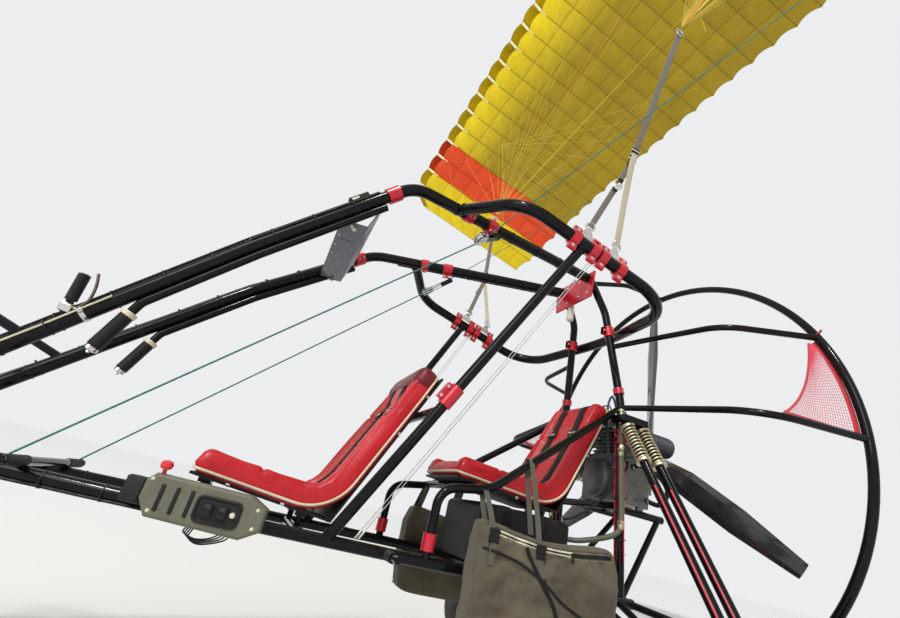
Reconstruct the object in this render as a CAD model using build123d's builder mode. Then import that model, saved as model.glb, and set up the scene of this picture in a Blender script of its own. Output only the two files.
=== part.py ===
from build123d import *
from math import atan2, cos, degrees, radians, sin
import os

# Two-seat powered parachute: a tube frame with two seats in line, three wheels, an engine with
# a pusher propeller in a ring, and a ram-air canopy held overhead by risers and lines.
# Millimetres. Stations are measured from the hang point's crossing: +X aft, +Y to the right-hand
# side of the vehicle, +Z up, floor at z = 0. Finished pieces are moved along X at the end, so
# that the origin is the middle of the whole vehicle's length.

os.makedirs("parts", exist_ok=True)

LEFT, RIGHT = -1, 1
SIDES = (("left", LEFT), ("right", RIGHT))
gap = 0.3  # between pieces of different bodies, or soft pieces and what carries them

# Tube sizes
main_d = 50  # upper tubes and halo hoop
frame_d = 38  # lower frame, mast, struts
rail_d = 32  # seat rails and engine bed
ring_d = 32  # propeller ring
rib_d = 26  # cage ribs
leg_d = 38  # gear legs
clamp_wall = 7

# Lower frame
rail_z = 530
nose_x, nose_half = -1560, 120
rail_mid_x, rail_mid_half = -450, 270
rail_wide_x, rail_wide_half = 100, 300
rail_end_x, rail_end_half = 1000, 235
cross_stations = (-1180, -660, -340, 350, 680, 960)

# Upper tubes, from the nose up over the front seat and back to the mast's head
upper_nose_z = 575
upper_knee = (-810, 240, 1403)
upper_bend = (-330, 346, 1862)
upper_end = (745, 107, 1971)
upper_bend_r = 170
upper_knee_r = 900

# Halo hoop, outside the seats at shoulder height
hoop_start_x = -108
hoop_front = (60, 585, 1830)
hoop_rear = (815, 585, 1662)
hoop_back = (960, 0, 1712)
hoop_front_r = 190
hoop_rear_r = 230

# Mast behind the rear seat
mast_foot = (950, 222, rail_z)
mast_waist = (905, 208, 1330)
mast_neck = (840, 128, 1800)
mast_bend_r = 160

# Seats
seat_half, rear_seat_half = 215, 185
seat_pad = 60
shell_wall = 8

# Wheels
wheel_x, wheel_half, wheel_r, wheel_w = 1040, 960, 265, 200
nose_wheel_x, nose_wheel_r, nose_wheel_w = -1690, 200, 110

# Propeller and its ring
prop_x, prop_z, prop_r = 1290, 1190, 830
ring_x, ring_r = 1345, 940

# Rig: the canopy's arc turns about an axis through the hang point, leaned aft
hang_x, hang_z = 200, 1750
rig_lean = 13
rig_r = 7050
cell_angle = 5.2
cell_count = 20
chord_fore, chord_aft, chord_tip_loss = 750, 2620, 650
foil_thickness, foil_fullness = 0.16, 1.6
skin = 3
rib_wall = 3
line_d = 5
riser_w, riser_t = 45, 6
riser_top = (520, 880, 2850)


def at(side, point):
    """The point on one side of the vehicle."""
    x, half, z = point
    return Vector(x, side * half, z)


def between(a, b, share):
    return Vector(*a) + (Vector(*b) - Vector(*a)) * share


def at_height(a, b, z):
    """The point of the line from a to b at one height."""
    return between(a, b, (z - Vector(*a).Z) / (Vector(*b).Z - Vector(*a).Z))


def at_station(a, b, x):
    """The point of the line from a to b at one station along X."""
    return between(a, b, (x - Vector(*a).X) / (Vector(*b).X - Vector(*a).X))


def tube(points, diameter, radii=None):
    """A round tube along straight runs that are joined by bends of the given radii."""
    with BuildPart() as piece:
        with BuildLine() as path:
            if radii:
                FilletPolyline(*points, radius=radii)
            else:
                Polyline(*points)
        start = path.wire() @ 0
        heading = path.wire() % 0
        with BuildSketch(Plane(origin=start, z_dir=heading)):
            Circle(diameter / 2)
        sweep(path=path.wire())
    return piece.part


def collar(centre, heading, bore, length, wall):
    """A clamp ring around a tube."""
    heading = Vector(*heading).normalized()
    with BuildPart() as piece:
        with BuildSketch(Plane(origin=Vector(*centre) - heading * (length / 2), z_dir=heading)):
            Circle(bore / 2 + wall)
            Circle(bore / 2, mode=Mode.SUBTRACT)
        extrude(amount=length)
    return piece.part


def bar(start, end, width, thickness, width_dir=(0, 1, 0)):
    """A flat bar with a rectangular section from start to end."""
    start, end = Vector(*start), Vector(*end)
    with BuildPart() as piece:
        with BuildSketch(Plane(origin=start, x_dir=Vector(*width_dir), z_dir=end - start)):
            Rectangle(width, thickness)
        extrude(amount=(end - start).length)
    return piece.part


def joined(*pieces, cut=()):
    """One part from several, less what it is coped around."""
    with BuildPart() as whole:
        for piece in pieces:
            add(piece)
        for tool in cut:
            add(tool, mode=Mode.SUBTRACT)
    return whole.part


finished = {}


def keep(name, piece):
    piece.label = name
    finished[name] = piece


# Lower frame: two rails drawn in at the nose, with cross tubes
def rail_points(side):
    return [
        at(side, (nose_x, nose_half, rail_z)),
        at(side, (rail_mid_x, rail_mid_half, rail_z)),
        at(side, (rail_wide_x, rail_wide_half, rail_z)),
        at(side, (rail_end_x, rail_end_half, rail_z)),
    ]


def rail_half_at(x):
    """The rail's distance from the middle at one station."""
    points = rail_points(RIGHT)
    for start, end in zip(points, points[1:]):
        if x <= end.X:
            return at_station(start, end, x).Y
    return points[-1].Y


rails = [tube(rail_points(side), frame_d, [900, 1500]) for _, side in SIDES]
crosses = [
    tube([(x, -rail_half_at(x), rail_z), (x, rail_half_at(x), rail_z)], rail_d)
    for x in cross_stations
]
tow_hole_r = 8
with BuildPart() as head_block:
    with BuildSketch(Plane.XY.offset(rail_z - frame_d / 2)):
        with Locations((nose_x, 0)):
            Rectangle(90, 2 * nose_half + frame_d)
    extrude(amount=frame_d)
with BuildPart() as tow_hole:
    with BuildSketch(Plane.XY.offset(rail_z - frame_d)):
        with Locations((nose_x, 0)):
            Circle(tow_hole_r)
    extrude(amount=2 * frame_d)
head_tube_r, head_tube_x = 34, nose_x - 85
head_low, head_high = rail_z - 75, rail_z + 60
with BuildPart() as head_tube:
    with BuildSketch(Plane.XY.offset(head_low)):
        with Locations((head_tube_x, 0)):
            Circle(head_tube_r)
    extrude(amount=head_high - head_low)
steer_bore_r = 18
with BuildPart() as head_bore:
    with BuildSketch(Plane.XY.offset(head_low - 1)):
        with Locations((head_tube_x, 0)):
            Circle(steer_bore_r)
    extrude(amount=head_high - head_low + 2)
head_link = bar((head_tube_x, 0, rail_z), (nose_x, 0, rail_z), 60, frame_d)
lower_frame = joined(
    *rails, *crosses, head_block.part, head_tube.part, head_link, cut=[head_bore.part, tow_hole.part]
)
keep("lower_frame", lower_frame)

# Upper tubes
upper = {}
for name, side in SIDES:
    points = [
        at(side, (nose_x - 20, nose_half, upper_nose_z)),
        at(side, upper_knee),
        at(side, upper_bend),
        at(side, upper_end),
    ]
    raw = tube(points, main_d, [upper_knee_r, upper_bend_r])
    upper[name] = joined(raw, cut=[lower_frame])
keep("upper_tubes", joined(*upper.values()))

# Halo hoop: one bent tube from side to side, behind the mast
hoop_start = at_station(upper_bend, upper_end, hoop_start_x)
hoop_points = [
    at(LEFT, tuple(hoop_start)),
    at(LEFT, hoop_front),
    at(LEFT, hoop_rear),
    Vector(*hoop_back),
    at(RIGHT, hoop_rear),
    at(RIGHT, hoop_front),
    at(RIGHT, tuple(hoop_start)),
]
hoop_raw = tube(hoop_points, main_d, [hoop_front_r, hoop_rear_r, 700, hoop_rear_r, hoop_front_r])
halo_hoop = joined(hoop_raw, cut=[upper["left"], upper["right"]])
keep("halo_hoop", halo_hoop)

# Mast behind the rear seat
mast = {}
for name, side in SIDES:
    points = [at(side, mast_foot), at(side, mast_waist), at(side, mast_neck), at(side, upper_end)]
    raw = tube(points, frame_d, [mast_bend_r, mast_bend_r])
    mast[name] = joined(raw, cut=[lower_frame, upper[name], halo_hoop])
keep("masts", joined(*mast.values()))

# Struts from the hoop down past the front seat to the lower rails
strut_top = tuple(at_station(hoop_front, hoop_rear, 350))
strut_foot = (-260, rail_half_at(-260), rail_z)
strut = {}
for name, side in SIDES:
    raw = tube([at(side, strut_top), at(side, strut_foot)], frame_d)
    strut[name] = joined(raw, cut=[lower_frame, halo_hoop])
keep("struts", joined(*strut.values()))

# Seat rails from the mast's waist down beside the rear seat
seat_rail_points = [
    (mast_waist[0], mast_waist[1] - 3, mast_waist[2] - 30),
    (265, 302, 800),
    (75, 302, 765),
    (75, rail_half_at(75), rail_z),
]
seat_rail = {}
for name, side in SIDES:
    raw = tube([at(side, point) for point in seat_rail_points], rail_d, [200, 70])
    seat_rail[name] = joined(raw, cut=[lower_frame, mast[name]])
keep("seat_rails", joined(*seat_rail.values()))


def offset_corner(corner, first, second, distance):
    """Where two lines through a corner meet once both are moved along their unit normals."""
    total = first + second
    return corner + total * (distance / (1 + first.dot(second)))


class SeatShape:
    """A seat's side profile: hip point, base towards the front, back leaning aft."""

    def __init__(self, hip_x, hip_z, base_length, base_rise, back_length, back_lean):
        self.hip = Vector(hip_x, hip_z)
        rise, lean = radians(base_rise), radians(back_lean)
        self.base = Vector(-cos(rise), sin(rise)) * base_length
        self.back = Vector(sin(lean), cos(lean)) * back_length
        self.under = Vector(-sin(rise), -cos(rise))
        self.behind = Vector(cos(lean), -sin(lean))

    def outline(self, near, far):
        """The closed L between two distances behind the seat's front face."""
        return [
            self.hip + self.base + self.under * near,
            offset_corner(self.hip, self.under, self.behind, near),
            self.hip + self.back + self.behind * near,
            self.hip + self.back + self.behind * far,
            offset_corner(self.hip, self.under, self.behind, far),
            self.hip + self.base + self.under * far,
        ]


def seat_piece(shape, near, far, y0, y1, soft_r=0):
    """A seat layer extruded from one side distance to the other, with soft edges."""
    points = [(point.X, point.Y) for point in shape.outline(near, far)]
    with BuildPart() as piece:
        with BuildSketch(Plane.XZ.offset(-y1)):
            with BuildLine():
                Polyline(*points, close=True)
            make_face()
        extrude(amount=y1 - y0)
        if soft_r:
            fillet(piece.edges().filter_by(Axis.Y), soft_r)
    return piece.part


back_bar_d = rail_d
pad_and_shell = seat_pad + shell_wall
strut_slope = (strut_top[0] - strut_foot[0]) / (strut_top[2] - strut_foot[2])


def strut_x(z):
    return strut_foot[0] + (z - strut_foot[2]) * strut_slope


# Front seat, its back against a bar between the struts
front_hip_z, front_back_length, front_lean = 650, 600, 25
front_bar_z = 1000
front_bar_x = strut_x(front_bar_z)
front_base_length, front_rise = 420, 6
front_tilt = radians(front_lean)
front_reach = (back_bar_d / 2 + gap + pad_and_shell) / cos(front_tilt)
front_hip_x = (
    front_bar_x - front_reach - (front_bar_z - front_hip_z) * sin(front_tilt) / cos(front_tilt)
)
front_seat = SeatShape(
    front_hip_x, front_hip_z, front_base_length, front_rise, front_back_length, front_lean
)

# Rear seat, its back against a bar between the mast's tubes
rear_hip_z, rear_back_length, rear_lean = 862, 500, 25.5
rear_base_length, rear_rise = 430, 4
rear_tilt = radians(rear_lean)
rear_bar_z = rear_hip_z + rear_back_length * cos(rear_tilt) - pad_and_shell * sin(rear_tilt)
rear_bar = at_height(mast_foot, mast_waist, rear_bar_z)
rear_hip_x = (
    rear_bar.X - back_bar_d / 2 - gap - rear_back_length * sin(rear_tilt) - pad_and_shell * cos(rear_tilt)
)
rear_seat = SeatShape(
    rear_hip_x, rear_hip_z, rear_base_length, rear_rise, rear_back_length, rear_lean
)

bolster_w, bolster_rise = 62, 20
soft_edge_r = 16
shell_inset = 12
for name, shape, half in (("front", front_seat, seat_half), ("rear", rear_seat, rear_seat_half)):
    padding = [
        seat_piece(shape, 0, seat_pad - gap, bolster_w - half, half - bolster_w, soft_edge_r),
        seat_piece(shape, -bolster_rise, seat_pad - gap, -half, bolster_w - half, soft_edge_r),
        seat_piece(shape, -bolster_rise, seat_pad - gap, half - bolster_w, half, soft_edge_r),
    ]
    keep(f"{name}_seat_cushion", joined(*padding))
    keep(
        f"{name}_seat_shell",
        seat_piece(shape, seat_pad, pad_and_shell, shell_inset - half, half - shell_inset),
    )

# Bars that carry the seats
rear_base_bar_x = 250
base_share = (rear_hip_x - rear_base_bar_x) / -rear_seat.base.X
rear_base_under = pad_and_shell / cos(radians(rear_rise)) + back_bar_d / 2 + gap
rear_base_bar_z = rear_hip_z + rear_seat.base.Y * base_share - rear_base_under
front_bar_half = at_height(strut_foot, strut_top, front_bar_z).Y
post_half, post_d, post_clear = 150, 22, 12
post_pad_length, post_pad_w, post_pad_t = 40, 50, 15
seat_bars = []
for x, half, z in (
    (front_bar_x, front_bar_half, front_bar_z),
    (rear_base_bar_x, seat_rail_points[1][1], rear_base_bar_z),
    (rear_bar.X, rear_bar.Y, rear_bar_z),
):
    raw = tube([(x, -half, z), (x, half, z)], back_bar_d)
    seat_bars.append(joined(raw, cut=[*strut.values(), *seat_rail.values(), *mast.values()]))
for x in cross_stations[1:3]:
    post_share = (front_hip_x - x) / -front_seat.base.X
    post_drop = pad_and_shell / cos(radians(front_rise)) + post_clear
    post_top = front_hip_z + front_seat.base.Y * post_share - post_drop
    for _, side in SIDES:
        post = tube([(x, side * post_half, rail_z), (x, side * post_half, post_top)], post_d)
        with BuildPart() as pad:
            with BuildSketch(Plane.XY.offset(post_top)):
                with Locations((x, side * post_half)):
                    Rectangle(post_pad_length, post_pad_w)
            extrude(amount=post_pad_t)
        seat_bars.append(joined(post, pad.part, cut=[lower_frame, finished["front_seat_shell"]]))
keep("seat_bars", joined(*seat_bars))

# Gusset that ties the upper tubes' ends and the mast's heads
gusset_x, gusset_t = upper_end[0] - 25, 10
gusset_top, gusset_foot, gusset_top_half, gusset_foot_half = 1995, 1850, 165, 150
with BuildPart() as gusset:
    with BuildSketch(Plane.YZ.offset(gusset_x)):
        with BuildLine():
            Polyline(
                (-gusset_top_half, gusset_top),
                (gusset_top_half, gusset_top),
                (gusset_foot_half, gusset_foot),
                (-gusset_foot_half, gusset_foot),
                close=True,
            )
        make_face()
    extrude(amount=gusset_t)
mast_gusset = joined(gusset.part, cut=[*upper.values(), *mast.values()])
keep("mast_gusset", mast_gusset)
lamp_x, lamp_y, lamp_low, lamp_r, lamp_length = 744, 40, 1772, 19, 62
lamp_neck_length, lamp_soft_r = 30, 10
with BuildPart() as lamp:
    with BuildSketch(Plane.XY.offset(lamp_low)):
        with Locations((lamp_x, lamp_y)):
            Circle(lamp_r)
    extrude(amount=lamp_length)
    fillet(lamp.faces().sort_by(Axis.Z)[0].edges(), lamp_soft_r)
    with BuildSketch(Plane.XY.offset(lamp_low + lamp_length)):
        with Locations((lamp_x, lamp_y)):
            Circle(lamp_r * 0.82)
    extrude(amount=lamp_neck_length)
keep("gusset_lamp", joined(lamp.part, cut=[mast_gusset]))

# Propeller ring with its cage
with BuildPart() as ring:
    with BuildSketch(Plane.XZ):
        with Locations((ring_x, prop_z + ring_r)):
            Circle(ring_d / 2)
    revolve(axis=Axis((0, 0, prop_z), (1, 0, 0)))
prop_ring = ring.part
keep("prop_ring", prop_ring)


def on_ring(turn):
    """The ring's centre line, the given degrees round from its top towards the right-hand side."""
    return Vector(ring_x, ring_r * sin(radians(turn)), prop_z + ring_r * cos(radians(turn)))


def from_ring(turn, fore, inward, above):
    """A point set off from the ring towards the nose, towards the middle and upwards."""
    return on_ring(turn) + Vector(-fore, -inward, above)


high_turn, side_turn, low_turn = 60.7, 87.5, 131.9  # where the ribs meet the ring
high_shoulder = at_height(mast_waist, mast_neck, 1610)
rib_table = (  # start, knees, turn where it meets the ring, bend radii
    (
        tuple(high_shoulder),
        [from_ring(high_turn, 360, 490, 5), from_ring(high_turn, 335, 160, -20)],
        high_turn,
        [150, 150],
    ),
    ((905, 208, 1305), [from_ring(side_turn, 410, 79, -6)], side_turn, [180]),
    (
        (rail_end_x - 15, rail_end_half, rail_z),
        [from_ring(low_turn, 215, 180, -62)],
        low_turn,
        [200],
    ),
)
cage = []
for name, side in SIDES:
    for start, knees, turn, radii in rib_table:
        points = [at(side, start), *[at(side, knee) for knee in knees], at(side, on_ring(turn))]
        raw = tube(points, rib_d, radii)
        cage.append(joined(raw, cut=[mast[name], lower_frame, prop_ring]))
brace_start = Vector(upper_end[0] - 20, 0, upper_end[2] + 19)
top_brace = joined(
    tube([brace_start, from_ring(0, 265, 0, -10), on_ring(0)], rib_d, [250]),
    cut=[mast_gusset, prop_ring],
)
keel_brace = joined(
    tube([(960, 0, rail_z), (ring_x, 0, prop_z - ring_r)], rib_d), cut=[lower_frame, prop_ring]
)
keep("cage_ribs", joined(*cage, top_brace, keel_brace))

# Side nets between the upper side rib and the ring
net_t = 3
nets = []
for _, side in SIDES:
    corners = [
        at(side, from_ring(side_turn, 315, 77, 9)),
        at(side, from_ring(side_turn, 5, 24, -6)),
        at(side, from_ring(high_turn, 5, 5, -18)),
    ]
    net_face = Face(Wire.make_polygon(corners))
    nets.append(Solid.extrude(net_face, net_face.normal_at() * net_t))
keep("ring_nets", joined(*nets, cut=[prop_ring, finished["cage_ribs"]]))

# Main gear: twin legs, springs, swing arms and axles
leg_top, leg_low, leg_spread = (930, 262, 1235), (wheel_x, 790, 330), 42
axle_r = 12.5
carrier_low, carrier_high = wheel_r - 55, wheel_r + 85
spring_length, spring_turns, spring_wire = 175, 11, 8.5
spring_start, cup_t, cup_wall = 34, 9, 13
bracket_y, bracket_w, bracket_t, bracket_edge = 245, 90, 30, 25
carrier_y, carrier_t, carrier_edge = 760, 75, 30
axle_start, axle_length = 830, 190
arm_stations, arm_end = (800, 925), 775


def wound_spring(start, heading):
    """A spring around a leg: wire wound between two cups."""
    coil_r = (leg_d + spring_wire) / 2 + 1.5
    wound = spring_length - cup_t
    with BuildPart() as coil:
        with BuildLine() as path:
            Helix(pitch=wound / spring_turns, height=wound, radius=coil_r)
        with BuildSketch(Plane(origin=path.wire() @ 0, z_dir=path.wire() % 0)):
            Circle(spring_wire / 2)
        sweep(path=path.wire(), is_frenet=True)
    cups = [
        collar(start + heading * along, heading, leg_d, cup_t, cup_wall)
        for along in (cup_t / 2, spring_length - cup_t / 2)
    ]
    spot = Plane(origin=start + heading * (cup_t / 2), z_dir=heading)
    return joined(coil.part.moved(spot.location), *cups)


gear_legs, springs, swing_arms = [], [], []
for name, side in SIDES:
    legs, coils = [], []
    for shift in (-leg_spread, leg_spread):
        top = Vector(leg_top[0] + shift, side * leg_top[1], leg_top[2])
        low = Vector(leg_low[0] + shift, side * leg_low[1], leg_low[2])
        legs.append(tube([top, low], leg_d))
        heading = (low - top).normalized()
        coils.append(wound_spring(top + heading * spring_start, heading))
    with BuildPart() as bracket:
        with BuildSketch(Plane.XY.offset(leg_top[2] - 8)):
            with Locations((leg_top[0], side * bracket_y)):
                Rectangle(2 * (leg_spread + bracket_edge), bracket_w)
        extrude(amount=bracket_t)
    with BuildPart() as carrier:
        with BuildSketch(Plane.XZ.offset(-side * carrier_y)):
            with Locations((wheel_x, (carrier_low + carrier_high) / 2)):
                Rectangle(2 * (leg_spread + carrier_edge), carrier_high - carrier_low)
        extrude(amount=-side * carrier_t)
    with BuildPart() as axle:
        with BuildSketch(Plane.XZ.offset(-side * axle_start)):
            with Locations((wheel_x, wheel_r)):
                Circle(axle_r)
        extrude(amount=-side * axle_length)
    gear_leg = joined(
        *legs, bracket.part, carrier.part, axle.part, cut=[mast[name], seat_rail[name]]
    )
    gear_legs.append(gear_leg)
    springs += coils
    arms = [
        tube([at(side, (x, rail_half_at(x), rail_z)), at(side, (wheel_x, arm_end, wheel_r))], rib_d)
        for x in arm_stations
    ]
    swing_arms.append(joined(*arms, cut=[lower_frame, carrier.part, gear_leg]))
keep("gear_legs", joined(*gear_legs))
keep("springs", Compound(children=springs))
keep("swing_arms", joined(*swing_arms))


# Wheels
rim_wall, web_t, hub_r = 12, 14, 40


def wheel(side_y, x, r, width, rim_r, bore_r, hub_half):
    """Tyre and rim, turned about an axle along Y through (x, side_y, r)."""
    axis = Axis((x, 0, r), (0, 1, 0))
    half = width / 2
    side_r = r - rim_r
    profile = ((0.8, 0), (0.96, 0.18), (1, 0.42), (0.98, 0.66), (0.9, 0.84), (0.72, 0.95), (0.4, 1))
    outline = [(side_y - half * out, r + rim_r + side_r * up) for out, up in profile]
    outline += [(side_y + half * out, r + rim_r + side_r * up) for out, up in reversed(profile)]
    with BuildPart() as tyre:
        with BuildSketch(Plane.YZ.offset(x)):
            with BuildLine():
                Polyline(*outline, close=True)
            make_face()
        revolve(axis=axis)
    with BuildPart() as rim:
        with BuildSketch(Plane.YZ.offset(x)):
            with Locations((side_y, r + rim_r - rim_wall / 2)):
                Rectangle(width * 0.8, rim_wall)
            with Locations((side_y, r + (rim_r + bore_r) / 2)):
                Rectangle(web_t, rim_r - bore_r)
            with Locations((side_y, r + (bore_r + hub_r) / 2)):
                Rectangle(2 * hub_half, hub_r - bore_r)
        revolve(axis=axis)
        with BuildSketch(Plane.XZ.offset(-side_y - web_t)):
            with Locations((x, r)):
                with PolarLocations((rim_r - rim_wall + hub_r) / 2, 6):
                    Circle((rim_r - rim_wall - hub_r) / 4)
        extrude(amount=2 * web_t, mode=Mode.SUBTRACT)
    return tyre.part, rim.part


main_rim_r, main_hub_half = 135, 58
for name, side in SIDES:
    tyre, rim = wheel(
        side * wheel_half, wheel_x, wheel_r, wheel_w, main_rim_r, axle_r + gap, main_hub_half
    )
    keep(f"tyre_{name}", tyre)
    keep(f"rim_{name}", rim)
nose_axle_r, nose_axle_end_r, nose_axle_end = 10, 8, 16
nose_rim_r, nose_hub_half = 100, 45
tyre, rim = wheel(
    0, nose_wheel_x, nose_wheel_r, nose_wheel_w, nose_rim_r, nose_axle_r + gap, nose_hub_half
)
keep("nose_tyre", tyre)
keep("nose_rim", rim)

# Nose fork, turning in the head tube
fork_half = nose_wheel_w / 2 + 22
crown_low, crown_high = head_low - 45, head_low - 12
stem_r = steer_bore_r - gap
with BuildPart() as stem:
    with BuildSketch(Plane.XY.offset(crown_low)):
        with Locations((head_tube_x, 0)):
            Circle(stem_r)
    extrude(amount=head_high + 14 - crown_low)
with BuildPart() as stem_nut:
    with BuildSketch(Plane.XY.offset(head_high + gap)):
        with Locations((head_tube_x, 0)):
            RegularPolygon(28, 6)
    extrude(amount=16)
with BuildPart() as stem_race:
    with BuildSketch(Plane.XY.offset(crown_low)):
        with Locations((head_tube_x, 0)):
            Circle(30)
    extrude(amount=head_low - gap - crown_low)
with BuildPart() as crown:
    with BuildSketch(Plane.XY.offset(crown_low)):
        with Locations(((head_tube_x + nose_wheel_x) / 2, 0)):
            Rectangle(90, 2 * fork_half + 24)
    extrude(amount=crown_high - crown_low)
fork_legs = [
    bar(
        (nose_wheel_x + 10, side * fork_half, crown_low + 5),
        (nose_wheel_x, side * fork_half, nose_wheel_r - 25),
        14,
        44,
    )
    for _, side in SIDES
]
with BuildPart() as nose_axle:
    with BuildSketch(Plane.XZ):
        with Locations((nose_wheel_x, nose_wheel_r)):
            Circle(nose_axle_r)
    extrude(amount=fork_half + 18, both=True)
    with BuildSketch(Plane.XZ):
        with Locations((nose_wheel_x, nose_wheel_r)):
            Circle(nose_axle_end_r)
    extrude(amount=fork_half + 18 + nose_axle_end, both=True)
keep(
    "nose_fork",
    joined(stem.part, stem_nut.part, stem_race.part, crown.part, *fork_legs, nose_axle.part),
)

# Engine on its bed
bed_z, bed_half, bed_end_x = 880, 130, 1250
bed_cross = at_height(mast_foot, mast_waist, bed_z)


def bed_brace_foot(side):
    return 975, side * 200


bed_tubes = [tube([(bed_cross.X, -bed_cross.Y, bed_z), (bed_cross.X, bed_cross.Y, bed_z)], rail_d)]
for _, side in SIDES:
    bed_tubes.append(tube([(bed_cross.X, side * bed_half, bed_z), (bed_end_x, side * bed_half, bed_z)], rail_d))
    bed_tubes.append(tube([(bed_end_x - 20, side * bed_half, bed_z), (*bed_brace_foot(side), rail_z)], rib_d))
engine_bed = joined(*bed_tubes, cut=[lower_frame, *mast.values()])
keep("engine_bed", engine_bed)
case_low, case_high = bed_z + rail_d / 2 + 16, 1125
case_x0, case_x1, case_w = 985, 1185, 230
cylinder_stations = (case_x0 + 50, case_x1 - 50)
cylinder_r, cylinder_high = 38, 150
fin_count, fin_pitch, fin_t, fin_length, fin_w = 7, 19, 7, 92, 130
gearbox_w, gearbox_high, gearbox_t = 150, 280, 55
shaft_r, foot_r, foot_half = 16, 18, 100
with BuildPart() as engine:
    with BuildSketch(Plane.XY.offset(case_low)):
        with Locations(((case_x0 + case_x1) / 2, 0)):
            Rectangle(case_x1 - case_x0, case_w)
    extrude(amount=case_high - case_low)
    with BuildSketch(Plane.XY.offset(case_high)):
        with Locations(*[(x, 0) for x in cylinder_stations]):
            Circle(cylinder_r)
    extrude(amount=cylinder_high)
    for fin in range(fin_count):
        with BuildSketch(Plane.XY.offset(case_high + 12 + fin_pitch * fin)):
            with Locations(*[(x, 0) for x in cylinder_stations]):
                Rectangle(fin_length, fin_w)
        extrude(amount=fin_t)
    with BuildSketch(Plane.YZ.offset(case_x1)):
        with Locations((0, case_high)):
            Rectangle(gearbox_w, gearbox_high)
    extrude(amount=gearbox_t)
    with BuildSketch(Plane.YZ.offset(case_x1 + 20)):
        with Locations((0, prop_z)):
            Circle(shaft_r + gap)
    extrude(amount=40, mode=Mode.SUBTRACT)
    with BuildSketch(Plane.XY.offset(bed_z)):
        with Locations(*[(x, y) for x in (case_x0 + 40, case_x1 - 40) for y in (-foot_half, foot_half)]):
            Circle(foot_r)
    extrude(amount=case_low - bed_z)
engine_block = joined(engine.part, cut=[engine_bed])
keep("engine", engine_block)
port_z = case_high + 62
filter_y, filter_r, filter_length = -218, 46, 168
throat_d, body_d = 44, 62
filter_x = (cylinder_stations[0] + cylinder_stations[1]) / 2 + 14
air_intake = joined(
    tube([(filter_x - filter_length / 2, filter_y, port_z), (filter_x + filter_length / 2, filter_y, port_z)],
         2 * filter_r),
    *[tube([(x, 0, port_z), (x, filter_y, port_z)], throat_d) for x in cylinder_stations],
    *[tube([(x, -88, port_z), (x, -150, port_z)], body_d) for x in cylinder_stations],
    cut=[engine_block],
)
keep("air_intake", air_intake)
muffler_y, muffler_z, muffler_r = 232, 1062, 56
muffler_x0, muffler_x1 = 1012, 1238
pipe_d = 36
exhaust = joined(
    tube([(muffler_x0, muffler_y, muffler_z), (muffler_x1, muffler_y, muffler_z)], 2 * muffler_r),
    *[
        tube([(x, 0, port_z), (x, muffler_y - 20, port_z), (x, muffler_y, muffler_z)], pipe_d, [45])
        for x in cylinder_stations
    ],
    tube([(muffler_x1 - 40, muffler_y, muffler_z), (muffler_x1 - 40, muffler_y + 20, muffler_z - 150)], pipe_d),
    cut=[engine_block],
)
keep("exhaust", exhaust)

# Propeller: hub, shaft and three blades
blade_table = ((60, 70, 30, 40), (250, 120, 20, 28), (550, 110, 14, 16), (prop_r, 60, 6, 10))
hub_flange_r, hub_flange_half = 62, 28
with BuildPart() as hub:
    with BuildSketch(Plane.YZ.offset(prop_x - hub_flange_half)):
        with Locations((0, prop_z)):
            Circle(hub_flange_r)
    extrude(amount=2 * hub_flange_half)
    with BuildSketch(Plane.YZ.offset(case_x1 + 22)):
        with Locations((0, prop_z)):
            Circle(shaft_r)
    extrude(amount=prop_x - case_x1 - 30)
blade_sections = []
for radius, chord, thickness, pitch in blade_table:
    turn = radians(pitch)
    with BuildSketch(
        Plane(origin=(prop_x, 0, prop_z + radius), x_dir=(sin(turn), cos(turn), 0), z_dir=(0, 0, 1))
    ) as section:
        with BuildLine():
            Polyline(
                (-chord / 2, 0),
                (-chord / 4, thickness / 2),
                (chord / 4, thickness / 2),
                (chord / 2, 0),
                (chord / 4, -thickness / 2),
                (-chord / 4, -thickness / 2),
                close=True,
            )
        make_face()
    blade_sections.append(section.sketch.faces()[0])
with BuildPart() as blade:
    loft(sections=blade_sections, ruled=True)
shaft_line = Axis((0, 0, prop_z), (1, 0, 0))
pilot_r, pilot_depth = 12.5, 20
hub_end = Vector(prop_x + hub_flange_half, 0, prop_z)
pilot = tube([hub_end - Vector(pilot_depth, 0, 0), hub_end + Vector(1, 0, 0)], 2 * pilot_r)
propeller = joined(
    hub.part, *[blade.part.rotate(shaft_line, 120 * count) for count in range(3)], cut=[pilot]
)
keep("propeller", propeller)


def box(x0, x1, y0, y1, z0, z1, soft_r=0):
    """A block between two corners, with soft edges where a radius is given."""
    with BuildPart() as piece:
        with BuildSketch(Plane.XY.offset(z0)):
            with Locations(((x0 + x1) / 2, (y0 + y1) / 2)):
                Rectangle(x1 - x0, abs(y1 - y0))
        extrude(amount=z1 - z0)
        if soft_r:
            fillet(piece.edges(), soft_r)
    return piece.part


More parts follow.
